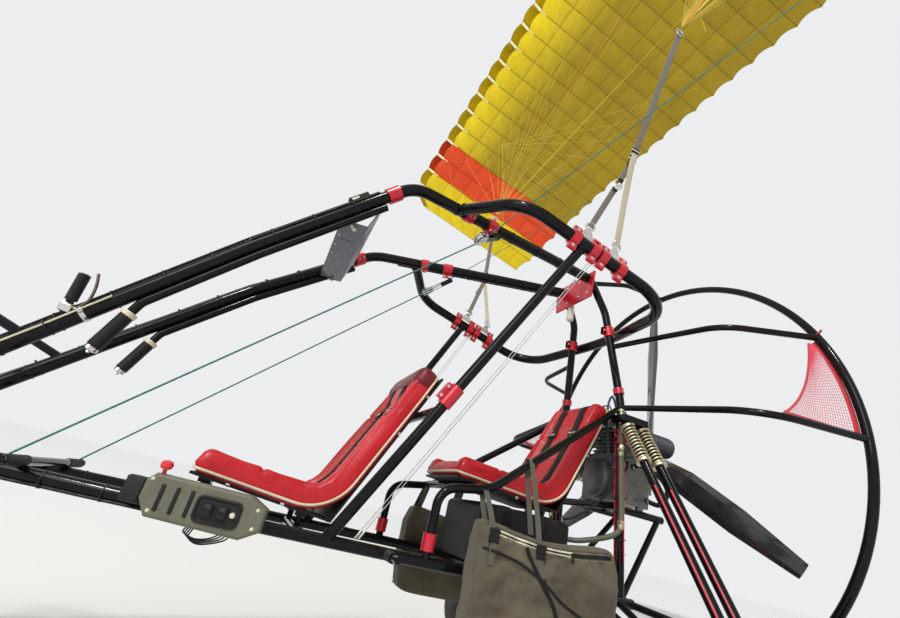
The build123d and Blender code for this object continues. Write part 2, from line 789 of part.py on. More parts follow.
# Tank and bags
cross_top = rail_z + rail_d / 2
keep("fuel_tank", box(310, 720, -185, 185, cross_top + gap, 765, 25))
bag_inner = seat_rail_points[1][1] + rail_d / 2 + gap
bag_x0, bag_x1, bag_low, bag_high, bag_t = 200, 765, 345, 712, 125
flap_drop, flap_t = 130, 9
strap_stations, strap_w, strap_t = (245, 430), 28, 3
bags = []
for name, side in SIDES:
    outer = bag_inner + bag_t
    pieces = [
        box(bag_x0, bag_x1, side * bag_inner, side * outer, bag_low, bag_high, 38),
        box(bag_x0 + 20, bag_x1 - 20, side * (outer - 60), side * (outer + flap_t), bag_high - flap_drop,
            bag_high - 6, 8),
    ]
    for x in strap_stations:
        rail_point = at_station(seat_rail_points[0], seat_rail_points[1], x)
        low = at(side, (x, bag_inner + 40, bag_high - 50))
        shoulder = at(side, (x, rail_point.Y + rail_d / 2, rail_point.Z))
        pieces.append(bar(low, shoulder, strap_w, strap_t, (1, 0, 0)))
    bags.append(joined(*pieces, cut=[seat_rail[name]]))
keep("saddle_bags", joined(*bags))

# Console on the left rail, moulded with slanted ends
console_x, console_z, console_t = -620, 560, 62
rail_heading = at(LEFT, (rail_mid_x, rail_mid_half, 0)) - at(LEFT, (nose_x, nose_half, 0))
console_start = at(LEFT, (console_x, rail_half_at(console_x) + frame_d / 2, console_z))
console_plane = Plane(
    origin=console_start, x_dir=rail_heading.normalized(), z_dir=rail_heading.cross(Vector(0, 0, 1))
)
console_side = ((-170, -20), (-140, -62), (120, -70), (172, -40), (172, 22), (120, 48), (-150, 52), (-170, 30))
if console_plane.z_dir.Y > 0:
    console_plane = Plane(origin=console_start, x_dir=rail_heading.normalized(), z_dir=-console_plane.z_dir)
    console_side = tuple((along, -up) for along, up in console_side)
with BuildPart() as console:
    with BuildSketch(console_plane):
        with BuildLine():
            Polyline(*console_side, close=True)
        make_face()
    extrude(amount=console_t)
    fillet(console.faces().sort_by(Axis.Y)[0].edges(), 10)
keep("side_console", joined(console.part, cut=[lower_frame]))

# Nose bars: hand tubes under the upper tubes, a loop ahead of them and a lever stub
hand_d, hand_end = 30, 190
hand_rise = radians(47)
hand_down = Vector(sin(hand_rise), 0, -cos(hand_rise)) * (main_d / 2 + hand_d / 2 - 1)
loop_d, loop_foot_x, loop_front = 28, -1290, (-1600, 165, 985)
upper_nose = (nose_x - 20, nose_half, upper_nose_z)
loop_foot = at_station(upper_nose, upper_knee, loop_foot_x)
nose_bars, hand_grips = [], []
grip_wall, grip_length = 7, 135
for name, side in SIDES:
    run = [
        at(side, at_station(upper_knee, upper_bend, -440)) + hand_down,
        at(side, upper_knee) + hand_down,
        at(side, at_station(upper_nose, upper_knee, -1080)) + hand_down,
    ]
    drop = (run[2] - run[1]).normalized() + Vector(0.15, 0, -0.75)
    run.append(run[2] + drop.normalized() * hand_end)
    raw = tube(run, hand_d, [300, 60])
    nose_bars.append(joined(raw, cut=[upper[name]]))
    grip_mid = run[3] - drop.normalized() * (grip_length / 2 + 4)
    hand_grips.append(collar(grip_mid, drop, hand_d, grip_length, grip_wall))
loop_raw = tube(
    [at(LEFT, loop_foot), at(LEFT, loop_front), at(RIGHT, loop_front), at(RIGHT, loop_foot)],
    loop_d,
    [80, 80],
)
nose_bars.append(joined(loop_raw, cut=[upper["left"], upper["right"]]))
lever_foot = at(LEFT, at_station(upper_nose, upper_knee, -1235))
lever_heading = Vector(0.1, -0.35, 0.93).normalized()
lever_d, lever_length = 22, 175
lever_grip_wall, lever_grip_length = 6, 88
lever_raw = tube([lever_foot, lever_foot + lever_heading * lever_length], lever_d)
nose_bars.append(joined(lever_raw, cut=[upper["left"]]))
lever_grip_mid = lever_foot + lever_heading * (lever_length - lever_grip_length / 2 - 3)
hand_grips.append(collar(lever_grip_mid, lever_heading, lever_d, lever_grip_length, lever_grip_wall))
keep("nose_bars", joined(*nose_bars))
keep("hand_grips", joined(*hand_grips))

# Folded panel under the upper tubes
panel_slope = atan2(upper_bend[2] - upper_knee[2], upper_bend[0] - upper_knee[0])
panel_along = Vector(cos(panel_slope), 0, sin(panel_slope))
panel_down = Vector(sin(panel_slope), 0, -cos(panel_slope))
panel_fore = at_station(upper_knee, upper_bend, -575)
panel_top = Vector(panel_fore.X, 0, panel_fore.Z) + panel_down * (main_d / 2 - 2)
panel_fold = panel_top + panel_along * 85 + panel_down * 62
panel_end = panel_top + panel_along * 190
panel_half, panel_t = 298, 4
panel_sheets = [
    bar(edge, panel_fold + (panel_fold - edge).normalized() * (panel_t / 2), 2 * panel_half, panel_t)
    for edge in (panel_top, panel_end)
]
keep("cross_panel", joined(*panel_sheets, cut=[*upper.values(), *nose_bars]))

# Footrests
foot_bar_x, foot_bar_d = -1120, 25
foot_bar_z = rail_z + frame_d / 2 + foot_bar_d / 2
keep("foot_bar", tube([(foot_bar_x, -340, foot_bar_z), (foot_bar_x, 340, foot_bar_z)], foot_bar_d))
peg_x, peg_d, peg_end_d = -60, 28, 22
peg_half, peg_end = 385, 45
pegs = [
    joined(
        tube([at(side, (peg_x, rail_half_at(peg_x), rail_z)), at(side, (peg_x, peg_half, rail_z))], peg_d),
        tube([at(side, (peg_x, peg_half, rail_z)), at(side, (peg_x, peg_half + peg_end, rail_z))], peg_end_d),
        cut=[lower_frame],
    )
    for _, side in SIDES
]
keep("foot_pegs", joined(*pegs))

# Clamps on the tubes
upper_run = Vector(*upper_end) - Vector(*upper_bend)
climb_run = Vector(*upper_bend) - Vector(*upper_knee)
hoop_run = Vector(*hoop_rear) - Vector(*hoop_front)
mast_run = Vector(*mast_waist) - Vector(*mast_foot)
strut_run = Vector(*strut_top) - Vector(*strut_foot)
neck_run = Vector(*mast_neck) - Vector(*mast_waist)
riser_stations = (300, 395, 440, 530)
clamp_length, lobe_high, lobe_t = 36, 26, 20
lobe_top = main_d / 2 + clamp_wall + lobe_high
hang_bore_r, hang_rise = 6.5, main_d / 2 + clamp_wall + 9
link_t, link_high = 4, 100
hoop_heading = hoop_run.normalized()
hoop_up = Vector(-hoop_heading.Z, 0, hoop_heading.X)
frame_solids = [lower_frame, halo_hoop, *upper.values(), *mast.values(), *strut.values(), *seat_rail.values()]
clamps, riser_clamps, riser_links = [], {}, {}


def hoop_spot(side, x, rise):
    """A point above the hoop's straight side, square to the tube."""
    return at(side, at_station(hoop_front, hoop_rear, x)) + hoop_up * rise


for name, side in SIDES:
    for line, run, bore, length in (
        (at_station(upper_knee, upper_bend, -402), climb_run, main_d, 55),
        (at_station(upper_bend, upper_end, -58), upper_run, main_d, 40),
        (at_station(upper_bend, upper_end, 66), upper_run, main_d, 50),
        (at_height(mast_foot, mast_waist, 1170), mast_run, frame_d, 60),
        (at_height(mast_waist, mast_neck, 1690), neck_run, frame_d, 50),
        (at_height(strut_foot, strut_top, 1054), strut_run, frame_d, 80),
        (at_height(seat_rail_points[3], seat_rail_points[2], 590), (0, 0, 1), rail_d, 54),
    ):
        clamps.append(collar(at(side, line), at(side, run), bore, length, clamp_wall))
    parts = []
    for number, x in enumerate(riser_stations):
        centre = hoop_spot(side, x, 0)
        with BuildPart() as clamp:
            with BuildSketch(
                Plane(origin=centre - hoop_heading * (clamp_length / 2), x_dir=(0, 1, 0), z_dir=hoop_heading)
            ):
                Circle(main_d / 2 + clamp_wall)
                with Locations((0, -lobe_top / 2), (0, lobe_top / 2)):
                    RectangleRounded(lobe_t, lobe_top, 8)
            extrude(amount=clamp_length)
        if number == 1:
            eye = hoop_spot(side, x, hang_rise)
            bore = tube([eye - Vector(0, lobe_t, 0), eye + Vector(0, lobe_t, 0)], 2 * hang_bore_r)
            parts.append(joined(clamp.part, cut=[halo_hoop, strut[name], bore]))
        else:
            parts.append(joined(clamp.part, cut=[halo_hoop, strut[name]]))
    riser_clamps[name] = joined(*parts)
    links = []
    for fore_x, aft_x in (riser_stations[:2], riser_stations[2:]):
        fore = hoop_spot(side, fore_x, 0) + hoop_heading * (clamp_length / 2)
        aft = hoop_spot(side, aft_x, 0) - hoop_heading * (clamp_length / 2)
        foot = lobe_top - lobe_high + 4
        link = Face(
            Wire.make_polygon(
                [
                    fore + hoop_up * foot,
                    aft + hoop_up * foot,
                    aft + hoop_up * (lobe_top - 8),
                    (fore + aft) / 2 + hoop_up * link_high,
                    fore + hoop_up * (lobe_top - 8),
                ]
            )
        )
        normal = link.normal_at()
        links.append(Solid.extrude(link.moved(Location(normal * (-link_t / 2))), normal * link_t))
    riser_links[name] = joined(*links, cut=[riser_clamps[name]])
keep("tube_clamps", joined(*clamps, cut=frame_solids))
keep("riser_clamps", joined(*riser_clamps.values()))
keep("riser_links", joined(*riser_links.values()))

# Risers: two legs from the clamps that meet in one strap, up to the link
riser_meet_share = 0.34
risers = {}
for name, side in SIDES:
    fore = hoop_spot(side, sum(riser_stations[:2]) / 2, link_high + gap)
    aft = hoop_spot(side, sum(riser_stations[2:]) / 2, link_high + gap)
    top = at(side, riser_top)
    meet = between((fore + aft) / 2, top, riser_meet_share)
    web = Plane(origin=meet, x_dir=aft - fore, z_dir=(aft - fore).cross(top - meet))
    with BuildPart() as riser:
        with BuildSketch(web):
            for start, width in ((fore, riser_w * 0.7), (aft, riser_w * 0.7), (top, riser_w)):
                with BuildLine() as strap:
                    Line(web.to_local_coords(start), (0, 0, 0))
                trace(strap.line, line_width=width)
        extrude(amount=riser_t / 2, both=True)
        for spot in (meet, top):
            with BuildSketch(Plane(origin=spot, x_dir=web.x_dir, z_dir=web.z_dir)):
                Circle(riser_w * 0.6)
            extrude(amount=riser_t, both=True)
    risers[name] = joined(riser.part, cut=[riser_links[name]])
keep("risers", joined(*risers.values()))

# Canopy
rig_tilt = radians(rig_lean)
rig_origin = Vector(hang_x, 0, hang_z)
rig_fore = Vector(cos(rig_tilt), 0, -sin(rig_tilt))
rig_up = Vector(sin(rig_tilt), 0, cos(rig_tilt))


def radial(angle):
    return Vector(0, 1, 0) * sin(angle) + rig_up * cos(angle)


def foil_height(share):
    """Upper surface over the chord, as a share of the chord; nothing at the trailing edge."""
    shape = 0.2969 * share**0.5 - 0.126 * share - 0.3516 * share**2 + 0.2843 * share**3 - 0.1036 * share**4
    return 5 * foil_thickness * foil_fullness * shape


foil_shares = (0.02, 0.05, 0.12, 0.25, 0.4, 0.6, 0.8, 1.0)
lower_lip = 0.07
rib_end = 0.97
panel_splits = (0, 2, 4, 7)  # places in foil_shares where one upper panel ends and the next starts
seam = 0.4


def chord_ends(angle):
    """Leading and trailing edge along the rig's fore-and-aft line."""
    share = abs(degrees(angle)) / (cell_angle * cell_count / 2)
    return -chord_fore, chord_aft - chord_tip_loss * share**1.8


def station_plane(angle):
    up = radial(angle)
    return Plane(origin=rig_origin + up * rig_r, x_dir=rig_fore, z_dir=rig_fore.cross(up))


def upper_points(angle, shares, drop):
    """Points of the upper surface, lowered by a distance."""
    front, back = chord_ends(angle)
    chord = back - front
    tail = 2 * skin + gap
    return [
        (front + chord * share, chord * foil_height(share) + tail * share - drop) for share in shares
    ]


def upper_panel(first, last):
    """The section of an upper panel between two places in foil_shares."""
    shares = foil_shares[first : last + 1]

    def outline(angle):
        over = upper_points(angle, shares, 0)
        under = upper_points(angle, shares, skin)
        start = seam if first else 0
        over[0] = (over[0][0] + start, over[0][1])
        under[0] = (under[0][0] + start, under[0][1])
        return [*over, *reversed(under)]

    return outline


def lower_panel(angle):
    front, back = chord_ends(angle)
    chord = back - front
    return [(front + chord * lower_lip, 0), (back, 0), (back, skin), (front + chord * lower_lip, skin)]


def rib_outline(angle):
    """A rib stands between the skins; its nose is slanted from the upper to the lower lip."""
    front, back = chord_ends(angle)
    chord = back - front
    foot = skin + gap
    top = upper_points(angle, foil_shares, skin + gap)
    (fore_x, fore_z), (tail_x, tail_z) = top[-2:]
    near_end = (rib_end - foil_shares[-2]) / (1 - foil_shares[-2])
    top[-1] = (fore_x + (tail_x - fore_x) * near_end, fore_z + (tail_z - fore_z) * near_end)
    return [(front + chord * lower_lip, foot), (front + chord * rib_end, foot), *reversed(top)]


def loft_stations(angles, outline):
    sections = []
    for angle in angles:
        with BuildSketch(station_plane(angle)) as section:
            with BuildLine():
                Polyline(*outline(angle), close=True)
            make_face()
        sections.append(section.sketch.faces()[0])
    with BuildPart() as piece:
        loft(sections=sections, ruled=True)
    return piece.part


def station(number):
    """The angle of a rib, counted from the left tip."""
    return radians((number - cell_count / 2) * cell_angle)


half_seam = seam / 2 / rig_r
bays = [(0, 1), (1, 2)]
bays += [(number, number + 2) for number in range(2, cell_count - 2, 2)]
bays += [(cell_count - 2, cell_count - 1), (cell_count - 1, cell_count)]
red_bays = (bays[1], bays[-2])
uppers, lowers, bands = [], [], []
for first, last in bays:
    angles = [station(number) for number in range(first, last + 1)]
    angles[0] += half_seam
    angles[-1] -= half_seam
    tops = [
        loft_stations(angles, upper_panel(start, end))
        for start, end in zip(panel_splits, panel_splits[1:])
    ]
    floor_panel = loft_stations(angles, lower_panel)
    if (first, last) in red_bays:
        bands += [*tops, floor_panel]
    else:
        uppers += tops
        lowers.append(floor_panel)
half_rib = rib_wall / 2 / rig_r
ribs = [
    loft_stations([station(number) - half_rib, station(number) + half_rib], rib_outline)
    for number in range(1, cell_count)
]
ribs.append(loft_stations([station(0), station(0) + 2 * half_rib], rib_outline))
ribs.append(loft_stations([station(cell_count) - 2 * half_rib, station(cell_count)], rib_outline))
keep("canopy_upper", Compound(children=uppers))
keep("canopy_lower", Compound(children=lowers))
keep("canopy_bands", Compound(children=bands))
keep("canopy_ribs", Compound(children=ribs))

# Suspension lines from each riser's link to the ribs of its half
line_rows = (0.14, 0.42, 0.72)
line_stations = (1, 3, 5, 7, 9)
knot_r, knot_rise = 13, riser_w * 0.6 + 12


def under_skin(angle, share):
    """A point on the lower skin at a station, at a share of the chord."""
    front, back = chord_ends(angle)
    return rig_origin + radial(angle) * rig_r + rig_fore * (front + (back - front) * share)


def line_to(start, angle, share):
    """A taut line that stops just short of the skin it is sewn to."""
    target = under_skin(angle, share)
    run = target - start
    slant = run.get_angle(radial(angle))
    stop = (line_d / 2 * sin(radians(slant)) + gap) / cos(radians(slant))
    return tube([start, start + run.normalized() * (run.length - stop)], line_d)


line_fans = []
for name, side in SIDES:
    knot_at = at(side, riser_top) + rig_up * knot_rise
    with BuildPart() as knot:
        with Locations(Location(knot_at)):
            Sphere(knot_r)
    lines = [
        line_to(knot_at, side * radians((cell_count / 2 - number) * cell_angle), share)
        for number in line_stations
        for share in line_rows
    ]
    line_fans.append(joined(*lines, knot.part, cut=[risers[name]]))
keep("suspension_lines", joined(*line_fans))

# Steering lines from the foot bar over a pulley and up to the trailing edge
bend_at = (17, 300, 1774)
rope_d = 6
groove_r, flange_r, groove_half, flange_t = 26, 34, 4.5, 3
pin_r, cheek_gap, cheek_t, cheek_w = 5, 9.5, 3, 26
hanger_x = 66
steering_lines, wheels, hangers = [], [], []
for name, side in SIDES:
    start = at(side, (foot_bar_x, 300, foot_bar_z + foot_bar_d / 2 + rope_d / 2))
    over = at(side, bend_at)
    brake = line_to(over, side * radians(7 * cell_angle), 0.985)
    coming = (over - start).normalized()
    going = (under_skin(side * radians(7 * cell_angle), 0.985) - over).normalized()
    with BuildPart() as bend:
        with Locations(Location(over)):
            Sphere(rope_d / 2)
    steering_lines.append(joined(tube([start, over], rope_d), brake, bend.part))
    half_turn = coming.get_angle(going) / 2
    inward = (going - coming).normalized()
    axis = coming.cross(going).normalized()
    middle = over + inward * ((groove_r + rope_d / 2 + gap) / cos(radians(half_turn)))
    wheel_parts = [
        collar(middle, axis, 2 * pin_r, 2 * groove_half + 2 * flange_t, groove_r - pin_r),
        collar(middle + axis * (groove_half + flange_t / 2), axis, 2 * pin_r, flange_t, flange_r - pin_r),
        collar(middle - axis * (groove_half + flange_t / 2), axis, 2 * pin_r, flange_t, flange_r - pin_r),
    ]
    wheels.append(joined(*wheel_parts))
    clamp_spot = at(side, at_station(upper_bend, upper_end, hanger_x))
    reach = clamp_spot - middle
    reach = reach - axis * reach.dot(axis)
    cheeks = [
        bar(
            middle + axis * (way * (cheek_gap + cheek_t / 2)) - reach.normalized() * cheek_w / 2,
            middle + axis * (way * (cheek_gap + cheek_t / 2)) + reach,
            cheek_w,
            cheek_t,
            reach.cross(axis),
        )
        for way in (-1, 1)
    ]
    pin = tube([middle - axis * (cheek_gap + cheek_t), middle + axis * (cheek_gap + cheek_t)], 2 * pin_r)
    block = bar(middle + reach * 0.55, middle + reach, cheek_w, 2 * cheek_gap, reach.cross(axis))
    hangers.append(joined(*cheeks, pin, block, cut=[upper[name], finished["tube_clamps"], halo_hoop, wheels[-1]]))
keep("steering_lines", joined(*steering_lines))
keep("pulley_wheels", joined(*wheels))
keep("pulley_hangers", joined(*hangers))

# Origin: the middle of the vehicle's length
nose_end = nose_wheel_x - nose_wheel_r
trailing_edge = rig_origin + rig_fore * chord_aft
trailing_edge += rig_up * (rig_r + 2 * skin + gap)
sweep_back = trailing_edge.X
centre_x = (nose_end + sweep_back) / 2
for name, part in finished.items():
    moved = part.moved(Location((-centre_x, 0, 0)))
    moved.label = name
    export_step(moved, f"parts/{name}.step")
print("pieces", len(finished), "origin moved by", round(centre_x, 3))
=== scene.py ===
from math import cos, pi, radians, sin, sqrt

import bpy
from mathutils import Matrix, Vector, noise
from mathutils.bvhtree import BVHTree


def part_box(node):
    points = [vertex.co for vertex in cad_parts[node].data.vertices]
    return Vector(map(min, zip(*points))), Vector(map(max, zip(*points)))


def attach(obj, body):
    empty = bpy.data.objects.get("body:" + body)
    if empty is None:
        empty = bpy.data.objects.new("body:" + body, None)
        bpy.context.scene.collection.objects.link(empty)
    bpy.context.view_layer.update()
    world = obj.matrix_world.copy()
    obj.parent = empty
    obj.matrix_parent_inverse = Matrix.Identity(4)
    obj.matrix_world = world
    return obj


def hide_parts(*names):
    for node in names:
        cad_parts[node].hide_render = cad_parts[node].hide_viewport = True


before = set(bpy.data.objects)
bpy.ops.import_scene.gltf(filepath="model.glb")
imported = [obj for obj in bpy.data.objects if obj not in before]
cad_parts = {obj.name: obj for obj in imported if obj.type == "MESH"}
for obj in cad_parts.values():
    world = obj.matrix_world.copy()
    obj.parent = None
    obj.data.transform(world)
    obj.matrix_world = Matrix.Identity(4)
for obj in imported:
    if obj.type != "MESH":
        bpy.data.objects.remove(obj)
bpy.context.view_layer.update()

# Looks of a two-seat powered parachute. Metres. Stations run aft from the hang point's crossing,
# as in the CAD source; the propeller ring's own station ties them to the frame.
RING_STATION = 1.345
ring_low, ring_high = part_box("prop_ring")
ORIGIN_X = (ring_low.x + ring_high.x) / 2 - RING_STATION
SIDES = (("left", -1), ("right", 1))
UP, RIGHT, AFT = Vector((0, 0, 1)), Vector((0, 1, 0)), Vector((1, 0, 0))
DOWN = -UP

# Tube lines of the frame, as in the CAD source: station, side distance, height
UPPER_NOSE, KNEE, BEND = (-1.58, 0.12, 0.575), (-0.81, 0.24, 1.403), (-0.33, 0.346, 1.862)
UPPER_END = (0.745, 0.107, 1.971)
HOOP_FORE, HOOP_REAR = (0.06, 0.585, 1.83), (0.815, 0.585, 1.662)
MAST_FOOT, WAIST, NECK = (0.95, 0.222, 0.53), (0.905, 0.208, 1.33), (0.84, 0.128, 1.8)
RAIL_NOSE, RAIL_MID, RAIL_WIDE = (-1.56, 0.12, 0.53), (-0.45, 0.27, 0.53), (0.1, 0.3, 0.53)
SEAT_RAIL_TOP, SEAT_RAIL_LOW = (0.905, 0.205, 1.3), (0.265, 0.302, 0.8)
STRUT_FOOT, STRUT_TOP = (-0.26, 0.28, 0.53), (0.35, 0.585, 1.7655)
NOSE_RUN, CLIMB, LEVEL = (UPPER_NOSE, KNEE), (KNEE, BEND), (BEND, UPPER_END)
MAST_LOW, MAST_HIGH, STRUT = (MAST_FOOT, WAIST), (WAIST, NECK), (STRUT_FOOT, STRUT_TOP)
RAIL_FORE, RAIL_AFT = (RAIL_NOSE, RAIL_MID), (RAIL_MID, RAIL_WIDE)
MAIN_R, FRAME_R, RAIL_R = 0.025, 0.019, 0.016
AXLE_X, AXLE_Z, LEG_SPREAD = 1.04, 0.265, 0.042


def at(x, y, z):
    """A point given by its station, side distance and height."""
    return Vector((x + ORIGIN_X, y, z))


def corner(place, side):
    """A tube line's corner on one side."""
    return at(place[0], side * place[1], place[2])


def on(line, side, station):
    """The point of a tube's straight run at one station."""
    (x0, y0, z0), (x1, y1, z1) = line
    share = (station - x0) / (x1 - x0)
    return at(station, side * (y0 + (y1 - y0) * share), z0 + (z1 - z0) * share)


def run_of(line, side):
    """The heading of a tube line on one side."""
    (x0, y0, z0), (x1, y1, z1) = line
    return Vector((x1 - x0, side * (y1 - y0), z1 - z0)).normalized()


# Materials
class Nodes:
    """Makes shader nodes with few words."""

    def __init__(self, tree):
        self.tree = tree

    def add(self, kind, **values):
        node = self.tree.nodes.new("ShaderNode" + kind)
        for key, value in values.items():
            if hasattr(node, key):
                setattr(node, key, value)
            else:
                node.inputs[key.replace("_", " ")].default_value = value
        return node

    def link(self, out, into):
        """Feeds an input from another node or with a plain value."""
        if isinstance(out, bpy.types.NodeSocket):
            self.tree.links.new(out, into)
        else:
            into.default_value = out

    def math(self, operation, *values):
        node = self.add("Math", operation=operation)
        for value, into in zip(values, node.inputs):
            self.link(value, into)
        return node.outputs[0]

    def texture(self, kind, coords, **values):
        node = self.add(kind, **values)
        self.link(coords, node.inputs["Vector"])
        return node.outputs

    def noise(self, coords, scale, detail=3.0):
        return self.texture("TexNoise", coords, Scale=scale, Detail=detail)["Fac"]

    def mix(self, factor, first, second, **values):
        """A blend of two colours."""
        node = self.add("Mix", data_type="RGBA", **values)
        for name, value in (("Factor", factor), ("A", first), ("B", second)):
            self.link(value, node.inputs[name])
        return node.outputs["Result"]

    def spread(self, fac, low, high, start=0.35, stop=0.65):
        """Maps a grey value to a range."""
        node = self.add("MapRange", From_Min=start, From_Max=stop, To_Min=low, To_Max=high)
        self.link(fac, node.inputs["Value"])
        return node.outputs["Result"]

    def tint(self, fac, first, second):
        """A colour that runs from the first to the second as the grey value rises."""
        node = self.add("ValToRGB")
        node.color_ramp.elements[0].color = (*first, 1)
        node.color_ramp.elements[1].color = (*second, 1)
        self.link(fac, node.inputs["Fac"])
        return node.outputs["Color"]

    def bump(self, height, strength, distance, normal=None):
        node = self.add("Bump", Strength=strength, Distance=distance)
        self.link(height, node.inputs["Height"])
        if normal:
            self.link(normal, node.inputs["Normal"])
        return node.outputs["Normal"]


def new_material(name):
    """A material, its node maker and its shader."""
    material = bpy.data.materials.new(name)
    material.use_nodes = True
    return material, Nodes(material.node_tree), material.node_tree.nodes["Principled BSDF"]


def shade(colour, factor):
    """A colour made lighter or darker."""
    return tuple(min(1.0, channel * factor) for channel in colour)


def grain_height(nodes, coords, kind, scale):
    """The relief of one kind of surface."""
    if kind == "leather":
        cells = nodes.texture("TexVoronoi", coords, feature="DISTANCE_TO_EDGE", Scale=scale)
        return nodes.spread(cells["Distance"], 0, 1, 0.0, 0.18)
    if kind == "weave":
        waves = [nodes.texture("TexWave", coords, bands_direction=way, Scale=scale)["Fac"] for way in "XZ"]
        return nodes.math("MAXIMUM", *waves)
    if kind == "brushed":
        coords = nodes.texture("Mapping", coords, Scale=(1, 1, 0.04))["Vector"]
    return nodes.noise(coords, scale, 4)


DUST = (0.42, 0.38, 0.32, 1)


def surface(name, slot, colour, roughness, metallic=0.0, coat=0.0, sheen=0.0, specular=0.5,
            grain=None, mottle=(9.0, 0.12), dust=0.0):
    """A procedural material: varied colour and roughness, a grain in relief, and dust from above."""
    material, nodes, shader = new_material(name)
    settings = {"Metallic": metallic, "Coat Weight": coat, "Coat Roughness": 0.06, "Sheen Weight": sheen,
                "Specular IOR Level": specular}
    for key, value in settings.items():
        shader.inputs[key].default_value = value
    coords = nodes.add("TexCoord").outputs["Object"]
    scale, depth = mottle
    patches, spots = nodes.noise(coords, scale, 5), nodes.noise(coords, scale * 9, 3)
    mixed = nodes.math("MULTIPLY_ADD", patches, 0.6, nodes.math("MULTIPLY", spots, 0.4))
    tone = nodes.tint(nodes.spread(mixed, 0, 1), shade(colour, 1 - depth), shade(colour, 1 + depth))
    if dust:
        facing = nodes.add("SeparateXYZ")
        nodes.link(nodes.add("NewGeometry").outputs["Normal"], facing.inputs[0])
        lying = nodes.spread(facing.outputs["Z"], 0, dust, 0.55, 1.0)
        tone = nodes.mix(nodes.math("MULTIPLY", lying, nodes.spread(patches, 0.2, 1)), tone, DUST)
    nodes.link(tone, shader.inputs["Base Color"])
    rough = nodes.spread(spots, max(0.03, roughness * 0.8), min(1, roughness * 1.25))
    nodes.link(rough, shader.inputs["Roughness"])
    if grain:
        kind, scale, strength, distance = grain
        height = grain_height(nodes, coords, kind, scale)
        nodes.link(nodes.bump(height, strength, distance), shader.inputs["Normal"])
    material["slot"] = slot
    return material


def sewn_cloth(name, slot, colour, seam_colour, painted_shade=None):
    """Canopy cloth: its map counts sewn panels, so seams lie at whole numbers, with a fine ripstop grid."""
    material = surface(name, slot, colour, 0.55, sheen=0.1, specular=0.3, mottle=(1.3, 0.12))
    nodes = Nodes(material.node_tree)
    shader = material.node_tree.nodes["Principled BSDF"]
    split = nodes.add("SeparateXYZ")
    nodes.link(nodes.add("UVMap").outputs["UV"], split.inputs[0])
    lines, ripstop = [], []
    for axis, width in (("X", 0.05), ("Y", 0.03)):
        for store, count, thin in ((lines, 1, width), (ripstop, 24, 0.09)):
            place = nodes.math("FRACT", nodes.math("MULTIPLY", split.outputs[axis], count))
            near = nodes.math("MINIMUM", place, nodes.math("SUBTRACT", 1.0, place))
            store.append(nodes.spread(near, 1, 0, 0.0, thin))
    seams, grid = nodes.math("MAXIMUM", *lines), nodes.math("MAXIMUM", *ripstop)
    tone = shader.inputs["Base Color"].links[0].from_socket
    # Painted shade: the tone is multiplied darker and more olive towards the trailing edge, where less light
    # comes through the cloth.
    if painted_shade:
        toward_back = nodes.spread(split.outputs["Y"], 0, 1, 0.2, 2.4)
        tone = nodes.mix(1.0, tone, nodes.tint(toward_back, (1, 1, 1), painted_shade), blend_type="MULTIPLY")
    tone = nodes.mix(nodes.math("MULTIPLY", seams, 0.75), tone, (*seam_colour, 1))
    nodes.link(tone, shader.inputs["Base Color"])
    coords = nodes.add("TexCoord").outputs["Object"]
    creases = nodes.noise(coords, 5.5, 4)
    first = nodes.bump(creases, 0.55, 0.012)
    second = nodes.bump(grid, 0.12, 0.0006, first)
    nodes.link(nodes.bump(seams, 0.6, -0.004, second), shader.inputs["Normal"])
    return material


VINYL_GRAIN, WEBBING_GRAIN = ("leather", 420, 0.12, 0.0004), ("weave", 210, 0.6, 0.0006)
BINDING_GRAIN = ("weave", 300, 0.4, 0.0004)
BLACK_GLOSS = surface("gloss_black_paint", "black_tube", (0.0045, 0.0045, 0.0055), 0.12, coat=0.1,
                      specular=0.13, grain=("peel", 380, 0.05, 0.0004), mottle=(14, 0.2), dust=0.03)
RED_ANODISED = surface("red_anodised", "red_clamp", (0.52, 0.008, 0.022), 0.28, metallic=0.3, coat=0.3,
                       grain=("brushed", 900, 0.12, 0.0002), mottle=(30, 0.14))
BRIGHT_STEEL = surface("bright_steel", "spring_steel", (0.62, 0.61, 0.58), 0.22, metallic=1.0,
                       grain=("brushed", 700, 0.1, 0.0002))
ZINC = surface("yellow_zinc", "spring_steel", (0.56, 0.5, 0.34), 0.34, metallic=0.85,
               grain=("cast", 600, 0.12, 0.0003), mottle=(25, 0.22))
RED_VINYL = surface("red_vinyl", "red_vinyl", (0.46, 0.006, 0.012), 0.4, coat=0.06, specular=0.35,
                    grain=VINYL_GRAIN, mottle=(7, 0.12))
MAROON_VINYL = surface("maroon_vinyl", "red_vinyl", (0.14, 0.008, 0.012), 0.42, specular=0.35,
                       grain=VINYL_GRAIN, mottle=(7, 0.15))
BLACK_VINYL = surface("black_vinyl", "black_plastic", (0.012, 0.012, 0.013), 0.45, specular=0.25,
                      grain=("leather", 620, 0.3, 0.0006), mottle=(8, 0.2))
CREAM_TRIM = surface("cream_trim", "tan_webbing", (0.62, 0.56, 0.4), 0.5,
                     grain=("cast", 500, 0.1, 0.0004))
BLACK_PLASTIC = surface("black_moulded", "black_plastic", (0.01, 0.01, 0.011), 0.48, specular=0.25,
                        grain=("cast", 900, 0.3, 0.0005), mottle=(12, 0.25), dust=0.08)
OLIVE_PLASTIC = surface("olive_moulded", "black_plastic", (0.11, 0.105, 0.07), 0.5,
                        grain=("cast", 700, 0.3, 0.0005), mottle=(12, 0.2), dust=0.2)
CANVAS = surface("olive_canvas", "olive_canvas", (0.096, 0.08, 0.052), 0.85, sheen=0.15, specular=0.2,
                 grain=("weave", 150, 0.5, 0.0007), mottle=(5, 0.28), dust=0.06)
